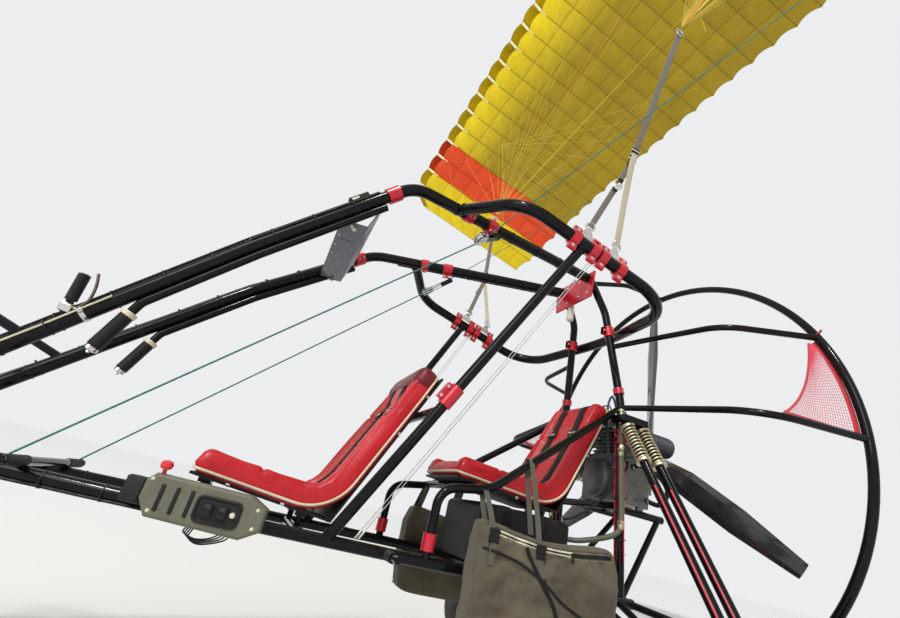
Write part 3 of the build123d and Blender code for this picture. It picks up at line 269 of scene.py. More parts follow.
GREY_PANEL = surface("grey_panel", "grey_panel", (0.085, 0.098, 0.12), 0.36, metallic=0.2,
                     grain=("brushed", 600, 0.08, 0.0002), mottle=(6, 0.08))
RUBBER = surface("tyre_rubber", "tyre", (0.022, 0.021, 0.02), 0.72,
                 grain=("cast", 420, 0.35, 0.0008), mottle=(10, 0.3), dust=0.3)
CAST_ALLOY = surface("cast_alloy", "cast_alloy", (0.55, 0.55, 0.56), 0.34, metallic=0.9,
                     grain=("cast", 300, 0.18, 0.0006), mottle=(16, 0.1))
ENGINE_CAST = surface("engine_casting", "engine_alloy", (0.19, 0.185, 0.17), 0.5, metallic=0.7,
                      grain=("cast", 260, 0.45, 0.0012), mottle=(18, 0.25))
BLUE_COVER = surface("blue_cover", "blue_cover", (0.01, 0.014, 0.024), 0.35, coat=0.2,
                     grain=("cast", 500, 0.15, 0.0004))
CARBON = surface("black_composite", "black_composite", (0.015, 0.015, 0.016), 0.22, coat=0.7,
                 grain=("weave", 110, 0.1, 0.0003), mottle=(10, 0.2))
NET_CORD = surface("red_net", "red_net", (0.66, 0.07, 0.12), 0.6, sheen=0.2,
                   grain=("weave", 300, 0.3, 0.0004))
DARK_WEBBING = surface("dark_webbing", "tan_webbing", (0.16, 0.135, 0.11), 0.8, sheen=0.2,
                       grain=WEBBING_GRAIN)
TAN_WEBBING = surface("tan_webbing", "tan_webbing", (0.5, 0.44, 0.31), 0.75, sheen=0.3,
                      grain=WEBBING_GRAIN)
BLACK_WEBBING = surface("black_webbing", "black_plastic", (0.009, 0.009, 0.009), 0.75, sheen=0.06,
                        specular=0.2, grain=WEBBING_GRAIN)
CANVAS_EDGE = surface("canvas_binding", "olive_canvas", (0.07, 0.066, 0.045), 0.8, sheen=0.3,
                      grain=BINDING_GRAIN)
RED_BINDING = surface("red_binding", "red_net", (0.5, 0.02, 0.03), 0.6, sheen=0.2,
                      grain=BINDING_GRAIN)
RED_KNOB = surface("red_knob", "red_vinyl", (0.6, 0.01, 0.015), 0.3, coat=0.4,
                   grain=("cast", 500, 0.1, 0.0003))
BLUE_HOSE = surface("blue_hose", "blue_cover", (0.02, 0.05, 0.12), 0.4, coat=0.1,
                    grain=("cast", 400, 0.12, 0.0004))
HOT_STEEL = surface("heat_stained_steel", "exhaust_steel", (0.3, 0.25, 0.2), 0.36, metallic=0.9,
                    grain=("brushed", 500, 0.12, 0.0003), mottle=(8, 0.3))
PALE_LENS = surface("pale_lens", "pale_lens", (0.6, 0.55, 0.42), 0.35, coat=0.2,
                    grain=("cast", 400, 0.1, 0.0003))
LINE_YELLOW = surface("yellow_line", "yellow_line", (0.62, 0.44, 0.04), 0.6, mottle=(40, 0.1))
LINE_ORANGE = surface("orange_line", "yellow_line", (0.85, 0.28, 0.05), 0.6, mottle=(40, 0.1))
TEAL_ROPE = surface("teal_rope", "teal_rope", (0.02, 0.13, 0.11), 0.6, mottle=(260, 0.6))
CLOTH_YELLOW = sewn_cloth("yellow_ripstop", "canopy_yellow", (0.84, 0.63, 0.008), (0.36, 0.25, 0.004))
# The lower centre skin carries painted shade, darker and more olive towards the trailing edge.
CLOTH_UNDER = sewn_cloth("yellow_under_cloth", "canopy_yellow", (0.86, 0.65, 0.008), (0.17, 0.12, 0.004),
                         painted_shade=(0.44, 0.4, 0.8))
CLOTH_RED = sewn_cloth("red_ripstop", "canopy_red", (0.8, 0.07, 0.012), (0.32, 0.016, 0.008))
# The nose tapes' pale colour is painted highlight: bright lines along each rib's nose at the leading edge.
NOSE_TAPE_HIGHLIGHT = surface("nose_tape", "canopy_yellow", (0.88, 0.82, 0.5), 0.6, sheen=0.1,
                    grain=("weave", 200, 0.3, 0.0004))


# Mesh building
class Shape:
    """Collects the vertices and faces of one piece."""

    def __init__(self):
        self.points, self.faces, self.maps = [], [], []

    def add(self, points, faces, maps=None):
        start = len(self.points)
        self.points += [Vector(point) for point in points]
        self.faces += [tuple(start + place for place in face) for face in faces]
        self.maps += maps or [(0.0, 0.0)] * len(points)
        return start

    def rows(self, rows, wrap_across=False, wrap_along=False, maps=None):
        """Quads between rows of as many points each."""
        count, width = len(rows), len(rows[0])
        faces = []
        for i in range(count if wrap_along else count - 1):
            for j in range(width if wrap_across else width - 1):
                ni, nj = (i + 1) % count, (j + 1) % width
                faces.append((i * width + j, i * width + nj, ni * width + nj, ni * width + j))
        flat_maps = [place for row in maps for place in row] if maps else None
        return self.add([point for row in rows for point in row], faces, flat_maps)

    def sweep(self, path, section, side=None, closed=False, scales=None):
        """A section of (across, over) points carried along a path without twisting."""
        path = [Vector(point) for point in path]
        count = len(path)
        headings = []
        for i in range(count):
            before = path[i - 1] if closed or i else path[0]
            after = path[(i + 1) % count] if closed or i < count - 1 else path[-1]
            headings.append((after - before).normalized())
        across = Vector(side) if side else headings[0].orthogonal()
        rows = []
        for i, heading in enumerate(headings):
            across = squared(across, heading)
            over = heading.cross(across)
            size = scales[i] if scales else 1
            rows.append([path[i] + across * (a * size) + over * (b * size) for a, b in section])
        if closed:
            self.rows(rows, wrap_across=True, wrap_along=True)
            return self
        return self.body(rows)

    def tube(self, path, radius, sides=10, closed=False, scales=None):
        return self.sweep(path, ring_of(radius, sides), closed=closed, scales=scales)

    def body(self, rows):
        """Rows of points round a body, closed at both ends."""
        start, width = self.rows(rows, wrap_across=True), len(rows[0])
        last = start + (len(rows) - 1) * width
        self.faces += [tuple(reversed(range(start, start + width))), tuple(range(last, last + width))]
        return self

    def lathe(self, centre, axis, profile, count=24):
        """A profile of (radius, along) points turned about an axis; its ends are closed."""
        axis = Vector(axis).normalized()
        across = axis.orthogonal().normalized()
        over = axis.cross(across)
        levels = [(Vector(centre) + axis * along, max(radius, 1e-5)) for radius, along in profile]
        return self.body([circle(middle, across, over, radius, count) for middle, radius in levels])

    def block(self, centre, length_dir, width_dir, size, soft):
        """A block with softened edges; size is its length, width and height."""
        length, width, height = size
        heading = Vector(length_dir).normalized()
        half = length / 2
        section = rounded(width - 2 * soft, height - 2 * soft, soft, 3)
        inner = rounded(width - 2 * soft, height - 2 * soft, soft * 0.35, 3)
        ends = ((-half, inner), (-half + soft * 0.7, section), (half - soft * 0.7, section), (half, inner))
        across = squared(width_dir, heading)
        over = heading.cross(across)
        rows = [
            [Vector(centre) + heading * along + across * a + over * b for a, b in outline]
            for along, outline in ends
        ]
        return self.body(rows)

    def bolt(self, seat, axis, size, nut=True):
        """A hexagon head on a washer, its underside at the seat."""
        hexagon = [(0.82, 0.2), (0.88, 0.3), (0.88, 0.85), (0.72, 1)], 6
        stud, dome = ([(0.42, 1), (0.38, 1.25)], 10), ([(0.8, 0.2), (0.7, 0.6), (0.3, 0.8)], 18)
        washer = [(1.15, 0), (1.15, 0.16), (0.9, 0.2)], 18
        for profile, count in (washer, hexagon, stud) if nut else (washer, dome):
            self.lathe(seat, axis, [(size * radius, size * along) for radius, along in profile], count)
        return self

    def piece(self, name, material, body="frame", replaces=(), smooth=40):
        mesh = bpy.data.meshes.new(name)
        mesh.from_pydata([tuple(point) for point in self.points], [], self.faces)
        mesh.validate()
        if any(place != (0.0, 0.0) for place in self.maps):
            layer = mesh.uv_layers.new(name="panels")
            for loop in mesh.loops:
                layer.data[loop.index].uv = self.maps[loop.vertex_index]
        return dress(put(name, mesh), material, body, replaces, smooth)


def put(name, data):
    """A new object in the scene."""
    obj = bpy.data.objects.new(name, data)
    bpy.context.scene.collection.objects.link(obj)
    return obj


def dress(obj, material, body="frame", replaces=(), smooth=40):
    """Gives a piece its material, smoothness, body, slot and the nodes it stands for."""
    obj.data.materials.clear()
    obj.data.materials.append(material)
    if smooth and obj.type == "MESH":
        obj.data.shade_smooth()
        obj.data.set_sharp_from_angle(angle=radians(smooth))
    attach(obj, body)
    if replaces:
        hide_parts(*replaces)
    return obj


def shapes(count):
    return [Shape() for _ in range(count)]


def turns(count, shift=0.0):
    """Evenly spaced angles round a circle."""
    return [2 * pi * (k + shift) / count for k in range(count)]


def spaced(first, last, count):
    """Evenly spaced values from the first to the last, in so many steps."""
    return [first + (last - first) * k / count for k in range(count + 1)]


def ring_of(radius, sides):
    return [(radius * cos(turn), radius * sin(turn)) for turn in turns(sides)]


def circle(centre, across, over, radius, count):
    """Points on a circle in the plane of two directions."""
    return [centre + (across * cos(turn) + over * sin(turn)) * radius for turn in turns(count)]


def squared(way, heading):
    """A direction made square to a heading."""
    way = Vector(way)
    return (way - heading * way.dot(heading)).normalized()


def band(inner, outer, length, ease=0.002):
    """A lathe's profile of a ring with eased edges."""
    return [(inner, 0), (outer, ease), (outer, length - ease), (inner, length)]


def flat(width, height):
    """A flat section, as (across, over) points."""
    return [(a * width / 2, b * height / 2) for a, b in ((-1, -1), (1, -1), (1, 1), (-1, 1))]


def rounded(width, height, radius, steps):
    """A rectangle's outline with round corners, as (across, over) points."""
    points = []
    for turn, (sx, sy) in enumerate(((1, 1), (-1, 1), (-1, -1), (1, -1))):
        for step in range(steps + 1):
            angle = (turn + step / steps) * pi / 2
            points.append((sx * width / 2 + radius * cos(angle), sy * height / 2 + radius * sin(angle)))
    return points


def spline(points, count):
    """A smooth line through a few points, as evenly counted points."""
    points = [Vector(point) for point in points]
    ends = [points[0] * 2 - points[1], *points, points[-1] * 2 - points[-2]]
    line = []
    for i in range(len(points) - 1):
        a, b, c, d = ends[i : i + 4]
        for step in range(count):
            t = step / count
            curve = (2 * a - 5 * b + 4 * c - d) * t**2 + (3 * b - a - 3 * c + d) * t**3
            line.append(0.5 * (2 * b + (c - a) * t + curve))
    return [*line, points[-1]]


def strap(shape, path, width, thickness, side):
    """Webbing along a path, its width held to one side."""
    edge = thickness * 0.45
    shape.sweep(path, rounded(width - 2 * edge, thickness - 2 * edge, edge, 2), side=side)


# CAD nodes that keep their shape
FRAME_FINISHES = {
    BLACK_GLOSS: (
        "lower_frame", "upper_tubes", "halo_hoop", "masts", "struts", "seat_rails", "seat_bars",
        "prop_ring", "cage_ribs", "gear_legs", "swing_arms", "engine_bed", "foot_bar", "foot_pegs",
        "nose_fork", "nose_bars", "pulley_hangers",
    ),
    RED_ANODISED: ("tube_clamps", "riser_clamps", "mast_gusset"),
    BLACK_PLASTIC: ("front_seat_shell", "rear_seat_shell", "fuel_tank"),
    BLACK_VINYL: ("hand_grips",), OLIVE_PLASTIC: ("side_console",), GREY_PANEL: ("cross_panel",),
    CAST_ALLOY: ("rim_left", "rim_right", "nose_rim"), RUBBER: ("tyre_left", "tyre_right", "nose_tyre"),
    CARBON: ("propeller",), ENGINE_CAST: ("engine",), BLUE_COVER: ("air_intake",),
    BRIGHT_STEEL: ("riser_links", "pulley_wheels"), HOT_STEEL: ("exhaust",), PALE_LENS: ("gusset_lamp",),
    ZINC: ("springs",), TEAL_ROPE: ("steering_lines",),
}
for material, nodes in FRAME_FINISHES.items():
    for node in nodes:
        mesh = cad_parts[node].data
        mesh.materials.clear()
        mesh.materials.append(material)
        mesh.shade_smooth()
        mesh.set_sharp_from_angle(angle=radians(35))

# Rig: the canopy's arc about the hang point, as in the CAD source
HANG = at(0.2, 0, 1.75)
RIG_LEAN = radians(13)
RIG_R = 7.05
SPAN_ANGLE = radians(104)
CELLS = 40
CHORD_FORE, CHORD_AFT, CHORD_TIP_LOSS = 0.75, 2.62, 0.65
TIP_ROUND = 0.34
FOIL = 0.16 * 1.6
LOWER_LIP, UPPER_LIP = 0.07, 0.02
RIG_FORE = Vector((cos(RIG_LEAN), 0, -sin(RIG_LEAN)))
RIG_UP = Vector((sin(RIG_LEAN), 0, cos(RIG_LEAN)))


def foil_height(share):
    """The section's height as a share of the chord."""
    shape = 0.2969 * share**0.5 - 0.126 * share - 0.3516 * share**2 + 0.2843 * share**3 - 0.1036 * share**4
    return 5 * FOIL * shape


def cell_angle(cells):
    """The rib angle after a number of cells from the left tip, which need not be whole."""
    return (cells / CELLS - 0.5) * SPAN_ANGLE


def chord_ends(angle):
    """How far fore and aft of the arc a rib reaches."""
    share = abs(angle) / (SPAN_ANGLE / 2)
    rounding = TIP_ROUND * max(0.0, (share - 0.93) / 0.07) ** 2.2
    return rounding - CHORD_FORE, CHORD_AFT - CHORD_TIP_LOSS * share**1.8 - rounding * 0.2


def rig_point(angle, along, height):
    """A point by its rib angle, distance along the chord and height over the arc."""
    radial = RIGHT * sin(angle) + RIG_UP * cos(angle)
    return HANG + radial * (RIG_R + height) + RIG_FORE * along


def chord_point(angle, share, height):
    """A point by its rib angle, share of the chord and height over the lower skin."""
    front, back = chord_ends(angle)
    return rig_point(angle, front + (back - front) * share, height)


def top_point(angle, share, rise):
    """The same, with its height over the upper skin."""
    front, back = chord_ends(angle)
    return chord_point(angle, share, foil_height(share) * (back - front) + rise)


PANELS = 8  # sewn panels along the chord
ACROSS, ALONG = 8, 8  # mesh steps over one panel
UPPER_PUFF, LOWER_PUFF = 0.055, 0.05
EDGE_SCALLOP = 0.05


def skin_rows(cells, upper):
    """Rows of points and map places for the cells of one skin, from the lip to the trailing edge."""
    rows, maps = [], []
    first_share = UPPER_LIP if upper else LOWER_LIP
    steps = PANELS * ALONG
    for step in range(steps + 1):
        panel_place = step / ALONG
        share = first_share + (1 - first_share) * (step / steps) ** (1.35 if upper else 1.0)
        swell_along = 1 - (2 * (panel_place % 1) - 1) ** 2
        row, map_row = [], []
        for column in range(len(cells) * ACROSS + 1):
            place = cells[0] + column / ACROSS
            u = 2 * (place % 1) - 1
            hump = 1 - u * u
            angle = cell_angle(place)
            front, back = chord_ends(angle)
            chord = back - front
            thin = min(1.0, foil_height(share) * chord / 0.16 + 0.12)
            lip = max(0.0, 1 - step / (ALONG * 0.8))
            tail = max(0.0, step / steps - 0.93) / 0.07
            along = front + chord * share + hump * EDGE_SCALLOP * (lip * -0.8 - tail)
            if upper:
                swell = hump * (0.82 + 0.18 * swell_along) * thin
                height = foil_height(share) * chord + swell * UPPER_PUFF + 0.008
            else:
                swell = hump**0.7 * (0.3 + 0.7 * swell_along**0.7) * thin
                height = -swell * LOWER_PUFF - hump * lip * 0.02
            row.append(rig_point(angle, along, height))
            map_row.append((place + 0.0001, panel_place))
        rows.append(row)
        maps.append(map_row)
    return rows, maps


TIP_CELLS, BAND_CELLS = 2, 2
inner = TIP_CELLS + BAND_CELLS
CELL_GROUPS = (
    ("centre", CLOTH_YELLOW, range(inner, CELLS - inner)),
    ("band_left", CLOTH_RED, range(TIP_CELLS, inner)),
    ("band_right", CLOTH_RED, range(CELLS - inner, CELLS - TIP_CELLS)),
    ("tip_left", CLOTH_YELLOW, range(0, TIP_CELLS)),
    ("tip_right", CLOTH_YELLOW, range(CELLS - TIP_CELLS, CELLS)),
)
CANOPY_NODES = {
    "canopy_upper_centre": ["canopy_upper"], "canopy_lower_centre": ["canopy_lower"],
    "canopy_upper_band_left": ["canopy_bands"],
}
for group, cloth, cells in CELL_GROUPS:
    for layer in ("upper", "lower"):
        skin = Shape()
        rows, maps = skin_rows(list(cells), layer == "upper")
        skin.rows(rows, maps=maps)
        name = f"canopy_{layer}_{group}"
        if name == "canopy_lower_centre":
            cloth = CLOTH_UNDER
        obj = skin.piece(name, cloth, replaces=CANOPY_NODES.get(name, ()), smooth=0)
        obj.data.shade_smooth()
        middle = len(rows[0]) // 2

# Ribs, the tapes sewn over their noses, and bindings along the lips and the trailing edge
ribs, nose_tapes, bindings = shapes(3)
RIB_STEPS, RIB_END = 22, 0.985
TAPE_WIDTH, TAPE_THICK, BINDING_R = 0.04, 0.0025, 0.0035
for number in range(CELLS + 1):
    angle = cell_angle(number)
    top, bottom, places = [], [], []
    for step in range(RIB_STEPS + 1):
        part = (step / RIB_STEPS) ** 1.3
        top.append(top_point(angle, UPPER_LIP + (RIB_END - UPPER_LIP) * part, 0.006))
        bottom.append(chord_point(angle, LOWER_LIP + (RIB_END - LOWER_LIP) * part, 0.002))
        places.append((number + 0.5, 0.5 + step))
    ribs.rows([bottom, top], maps=[places, places])
    low, high = chord_point(angle, LOWER_LIP, -0.003), top_point(angle, UPPER_LIP, 0.01)
    wide = rig_point(angle + 0.01, 0, 0) - rig_point(angle, 0, 0)
    tape = [chord_point(angle, LOWER_LIP + 0.03, -0.005), low, low.lerp(high, 0.5) - RIG_FORE * 0.003, high]
    strap(nose_tapes, tape, TAPE_WIDTH, TAPE_THICK, wide)
for upper, edge in ((True, 0), (False, 0), (False, -1)):
    rows, _ = skin_rows(list(range(CELLS)), upper)
    bindings.tube(rows[edge], BINDING_R, 6)
ribs.piece("canopy_ribs_cloth", CLOTH_YELLOW, replaces=["canopy_ribs"], smooth=0)
# Painted highlight: the tapes are pale to stand for bright edges at the rib noses.
nose_tapes.piece("canopy_nose_tapes", NOSE_TAPE_HIGHLIGHT)
bindings.piece("canopy_bindings", CLOTH_YELLOW)

# Suspension lines: each riser's top feeds cascades that split to the ribs
RISER_TOP = (0.52, 0.88, 2.85)
LINE_ROWS = (0.11, 0.36, 0.61, 0.84)
BRANCH_SHARE = 0.62


def line_curve(name, runs, radius, material, replaces=()):
    """Thin taut lines as one curve piece of straight runs."""
    curve = bpy.data.curves.new(name, "CURVE")
    curve.dimensions = "3D"
    curve.bevel_depth = radius
    curve.bevel_resolution = 1
    for run in runs:
        thread = curve.splines.new("POLY")
        thread.points.add(len(run) - 1)
        for point, place in zip(thread.points, run):
            point.co = (*place, 1)
    dress(put(name, curve), material, replaces=replaces)


yellow_runs, orange_runs, brake_runs = [], [], []
for _, side in SIDES:
    top = corner(RISER_TOP, side) + RIG_UP * 0.05
    for number in range(1, 10):
        pair = [cell_angle(CELLS / 2 + side * (2 * number + way)) for way in (-1, 1)]
        for row, share in enumerate(LINE_ROWS):
            first, second = (chord_point(angle, share, -0.004) for angle in pair)
            knot = top + ((first + second) / 2 - top) * BRANCH_SHARE
            store = orange_runs if row == 1 and number % 3 == 0 else yellow_runs
            store += [[top, knot, first], [knot, second]]
    fan = at(0.45, side * 0.9, 3.6)
    for number in range(5, 18, 2):
        angle = cell_angle(CELLS / 2 + side * number)
        edge = rig_point(angle, chord_ends(angle)[1] - 0.03, 0.0)
        brake_runs.append([at(0.62, side * 0.93, 2.87), fan, edge] if number == 5 else [fan, edge])
line_curve("suspension_lines_yellow", yellow_runs, 0.0011, LINE_YELLOW, ["suspension_lines"])
line_curve("suspension_lines_orange", orange_runs, 0.0013, LINE_ORANGE)
line_curve("brake_line_fan", brake_runs, 0.0015, LINE_YELLOW)

# Risers: two legs a side from the links between the hoop's clamps to the quick link
HOOP_UP = Vector((0.21721, 0, 0.97613))
RISER_STATIONS = (0.3, 0.395, 0.44, 0.53)
LOBE_T, LOBE_RISE, LINK_HIGH = 0.02, 0.041, 0.1


def hoop_spot(side, station, rise=0.0):
    """A point above the hoop's straight side, square to the tube."""
    return on((HOOP_FORE, HOOP_REAR), side, station) + HOOP_UP * rise


WEB, SLEEVE = 0.004, 0.009  # thickness of the webbing and of the sleeve over its joint
SHACKLE_R = 0.017
riser_dark, riser_tan, riser_black, links = shapes(4)
for _, side in SIDES:
    fore = hoop_spot(side, sum(RISER_STATIONS[:2]) / 2, LINK_HIGH)
    aft = hoop_spot(side, sum(RISER_STATIONS[2:]) / 2, LINK_HIGH)
    top = corner(RISER_TOP, side)
    meet = ((fore + aft) / 2).lerp(top, 0.34)
    rising = (top - meet).normalized()
    out = RIGHT * side
    wide, lift = (aft - fore).normalized(), out * 0.006
    strap(riser_dark, [fore, fore.lerp(meet, 0.5), meet], 0.026, WEB, wide)
    strap(riser_black, [meet - (top - meet) * 0.03, meet, meet.lerp(top, 0.1)], 0.034, SLEEVE, wide)
    strap(riser_dark, [meet.lerp(top, 0.08), meet.lerp(top, 0.6), top], 0.029, WEB, wide)
    strap(riser_tan, [aft, aft.lerp(meet, 0.5), meet + lift, meet.lerp(top, 0.06) + lift], 0.028, WEB, wide)
    for share in (0.02, 0.05, 0.08):
        start = meet.lerp(top, share)
        strap(riser_tan, [start, start + rising * 0.006], 0.04, 0.013, wide)
    sheave = fore.lerp(meet, 0.62) + out * 0.012
    groove = [(0.019, 0), (0.021, 0.001), (0.016, 0.006), (0.021, 0.011), (0.019, 0.012)]
    links.lathe(sheave - out * 0.006, out, groove, 28)
    links.bolt(sheave + out * 0.007, out, 0.0055)
    lanyard = (meet - fore).normalized()
    ends = [sheave - lanyard * 0.03, sheave, sheave + lanyard * 0.034]
    riser_black.sweep(ends, rounded(0.02, 0.001, 0.001, 2), side=wide)
    for spot, pull in ((fore, meet - fore), (aft, meet - aft), (top, RIG_UP)):
        pull = pull.normalized()
        loop = [spot + pull * (0.02 * sin(turn)) + wide * (SHACKLE_R * cos(turn)) for turn in turns(18)]
        links.tube(loop, 0.0034, 8, closed=True)
        for way in (-1, 1):
            links.lathe(spot + wide * (SHACKLE_R * way), pull, [(0.0058, -0.01), (0.0058, 0.01)], 6)
riser_dark.piece("riser_straps_fore", DARK_WEBBING, replaces=["risers"])
riser_tan.piece("riser_straps_aft", TAN_WEBBING)
riser_black.piece("riser_sleeves", BLACK_WEBBING)
links.piece("riser_shackles", BRIGHT_STEEL)

# Cloth simulation and laying on
AIR_FRAMES = 16
AIR = {
    "quality": 4, "mass": 0.25, "tension_stiffness": 18, "compression_stiffness": 18, "shear_stiffness": 6,
    "bending_stiffness": 0.6, "vertex_group_mass": "held", "use_pressure": True,
}


def puff(obj, held, pressure, cap):
    """Fills a padded piece with air by cloth simulation; held points stay, no point moves past the cap."""
    start = [vertex.co.copy() for vertex in obj.data.vertices]
    group = obj.vertex_groups.new(name="held")
    group.add(held, 1.0, "REPLACE")
    cloth = obj.modifiers.new("air", "CLOTH")
    for key, value in AIR.items():
        setattr(cloth.settings, key, value)
    cloth.settings.uniform_pressure_force = pressure
    cloth.settings.effector_weights.gravity = 0
    cloth.point_cache.frame_start = 1
    cloth.point_cache.frame_end = AIR_FRAMES
    scene = bpy.context.scene
    for number in range(1, AIR_FRAMES + 1):
        scene.frame_set(number)
    blown = obj.evaluated_get(bpy.context.evaluated_depsgraph_get()).data
    moved = [vertex.co.copy() for vertex in blown.vertices]
    obj.modifiers.clear()
    obj.vertex_groups.clear()
    for vertex, before, after in zip(obj.data.vertices, start, moved):
        step = after - before
        if step.length > cap:
            step *= cap / step.length
        vertex.co = before + step
    scene.frame_set(1)


def surface_of(obj):
    """A piece's faces, ready for laying things on."""
    return BVHTree.FromPolygons(
        [vertex.co for vertex in obj.data.vertices], [tuple(face.vertices) for face in obj.data.polygons]
    )


def laid_on(tree, points, normals, lift, reach=0.2):
    """The points dropped onto a surface along their normals, raised by a little."""
    path = []
    for point, normal in zip(points, normals):
        hit = tree.ray_cast(point + normal * reach, -normal, 2 * reach)[0]
        path.append((hit or point) + normal * lift)
    return path


def stitches(shape, path, length=0.005, pitch=0.0085, radius=0.0006):
    """Short threads along a seam."""
    travelled, due = 0.0, 0.0
    for start, end in zip(path, path[1:]):
        run = (end - start).length
        while due <= travelled + run - length:
            first = start.lerp(end, (due - travelled) / run)
            last = start.lerp(end, (due - travelled + length) / run)
            shape.tube([first, last], radius, 5)
            due += pitch
        travelled += run


# Seats
PAD, SHELL = 0.06, 0.008
BOLSTER, BOLSTER_RISE = 0.062, 0.02
SEATS = {  # base length, base rise, back length, back lean, half width, corner radius, channels, head roll
    "front": (0.42, 6, 0.6, 25, 0.215, 0.13, (0.2, 0.4, 0.62, 0.8), 0.02),
    "rear": (0.43, 4, 0.5, 25.5, 0.185, 0.1, (0.22, 0.44, 0.66, 0.84), 0.01),
}
SEAT_STEPS, SEAT_TOP, SEAT_UNDER = 110, 56, 12
TAPER_START, TAPER_RUN = 0.8, 0.2  # shares of the line over which the back's top narrows
WALL_SHARE, WALL_BULGE = 0.3, 1.004  # share of the underside's points on each side wall


class Seat:
    """The line of a seat's face, from the base's front edge over the hip to the back's top."""

    def __init__(self, name):
        values = SEATS[name]
        self.base_length, rise, self.back_length, lean, self.half, self.hip_r = values[:6]
        self.channels, self.head_roll = values[6:]
        self.rise, self.lean = radians(rise), radians(lean)
        shell_low, shell_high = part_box(f"{name}_seat_shell")
        hip_x = shell_low.x + self.base_length * cos(self.rise) + (PAD + SHELL) * sin(self.rise)
        hip_z = shell_high.z - self.back_length * cos(self.lean) + PAD * sin(self.lean)
        self.hip = Vector((hip_x, 0, hip_z))
        self.base_dir = Vector((-cos(self.rise), 0, sin(self.rise)))
        self.back_dir = Vector((sin(self.lean), 0, cos(self.lean)))
        self.base_normal = Vector((sin(self.rise), 0, cos(self.rise)))
        self.back_normal = Vector((-cos(self.lean), 0, sin(self.lean)))
        turn = self.base_normal.angle(self.back_normal)
        self.cut = self.hip_r * sin(turn / 2) / cos(turn / 2)
        self.centre = self.hip + self.base_dir * self.cut + self.base_normal * self.hip_r
        self.base_run, self.back_run = self.base_length - self.cut, self.back_length - self.cut
        self.arc = self.hip_r * turn
        self.total = self.base_run + self.arc + self.back_run
        self.edge = 1 - BOLSTER / self.half
        self.cross_seams = ((self.base_run + self.arc * 0.4) / self.total, 0.2, 0.78)

    def spot(self, s):
        """The point and the outward normal at a share of the line."""
        travel = self.total * s
        if travel <= self.base_run:
            return self.hip + self.base_dir * (self.base_length - travel), self.base_normal
        if travel <= self.base_run + self.arc:
            normal = self.base_normal.slerp(self.back_normal, (travel - self.base_run) / self.arc)
            return self.centre - normal * self.hip_r, normal
        along = self.cut + travel - self.base_run - self.arc
        return self.hip + self.back_dir * along, self.back_normal

    def place(self, s, y, depth):
        point, normal = self.spot(s)
        return point + RIGHT * y + normal * depth

    def relief(self, s, t):
        """How far the cover stands off the face line at a share along and a share across."""
        edge, across = self.edge, abs(t)
        if across > edge:
            w = (across - (1 + edge) / 2) / ((1 - edge) / 2)
            seams = sum(max(0.0, 1 - abs(s - seam) / 0.011) for seam in self.cross_seams)
            return BOLSTER_RISE * (1 - abs(w) ** 2.4) - 0.012 * abs(w) ** 8 - 0.008 * seams
        crown = 0.006 * (1 - (across / edge) ** 2)
        seam = 0.012 * max(0.0, 1 - (edge - across) / 0.09) ** 2
        groove = sum(0.009 * max(0.0, 1 - abs(s - channel) / 0.016) ** 1.5 for channel in self.channels)
        roll = self.head_roll * max(0.0, 1 - abs(s - 0.925) / 0.075) ** 0.5 if s > 0.85 else 0.0
        return crown - seam - groove * min(1.0, (edge - across) / 0.05) + roll


def seat_cover(name):
    """The padded skin: a crowned middle with sewn channels, side bolsters and a rolled head."""
    seat = Seat(name)
    rows, held = [], []
    around = SEAT_TOP + 1 + SEAT_UNDER
    for step in range(SEAT_STEPS + 1):
        s = step / SEAT_STEPS
        near_end = not 5 <= step <= SEAT_STEPS - 5
        in_channel = any(abs(s - channel) < 0.006 for channel in seat.channels)
        ease = min(1.0, s / 0.035, (1 - s) / 0.035)
        end_round = sqrt(max(0.0, 1 - (1 - ease) ** 2)) * 0.9 + 0.1
        narrow = 1 - 0.09 * max(0.0, (s - TAPER_START) / TAPER_RUN) ** 2 - 0.05 * (1 - end_round)
        half = (seat.half - 0.003) * narrow
        row = []
        for k in range(SEAT_TOP + 1):
            share = k / SEAT_TOP
            t = 0.65 * (2 * share - 1) - 0.35 * cos(pi * share)
            row.append(seat.place(s, t * half, -PAD / 2 + (seat.relief(s, t) + PAD / 2) * end_round))
            if near_end or (in_channel and abs(t) < seat.edge) or abs(abs(t) - seat.edge) < 0.02:
                held.append(step * around + k)
        for k in range(1, SEAT_UNDER + 1):
            share = k / (SEAT_UNDER + 1)
            if share < WALL_SHARE:
                y, depth = half * WALL_BULGE, -PAD * share / WALL_SHARE
            elif share < 1 - WALL_SHARE:
                y, depth = half * (1 - (share - WALL_SHARE) / 0.2), -PAD
            else:
                y, depth = -half * WALL_BULGE, -PAD * (1 - share) / WALL_SHARE
            row.append(seat.place(s, y, -PAD / 2 + (max(depth, 0.0006 - PAD) + PAD / 2) * end_round))
            if near_end or depth <= -PAD:
                held.append(step * around + SEAT_TOP + k)
        rows.append(row)
    shape = Shape().body(rows)
    cover = shape.piece(f"{name}_seat_cover", RED_VINYL, replaces=[f"{name}_seat_cushion"], smooth=70)
    puff(cover, held, 2.2, 0.007)
    return seat, cover


BELT_WIDTH, BELT_THICK = 0.044, 0.0022
BELT_Y, LAP_Y = 0.075, 0.118  # from the seat's middle to its shoulder belts and lap belts
COVER_TOP = 0.97  # share of the line where the cover's flat face ends
SEAM_GAP, CHANNEL_GAP = 0.006, 0.005  # from a seam's or channel's middle to its stitches
THREAD_LIFT = 0.0002


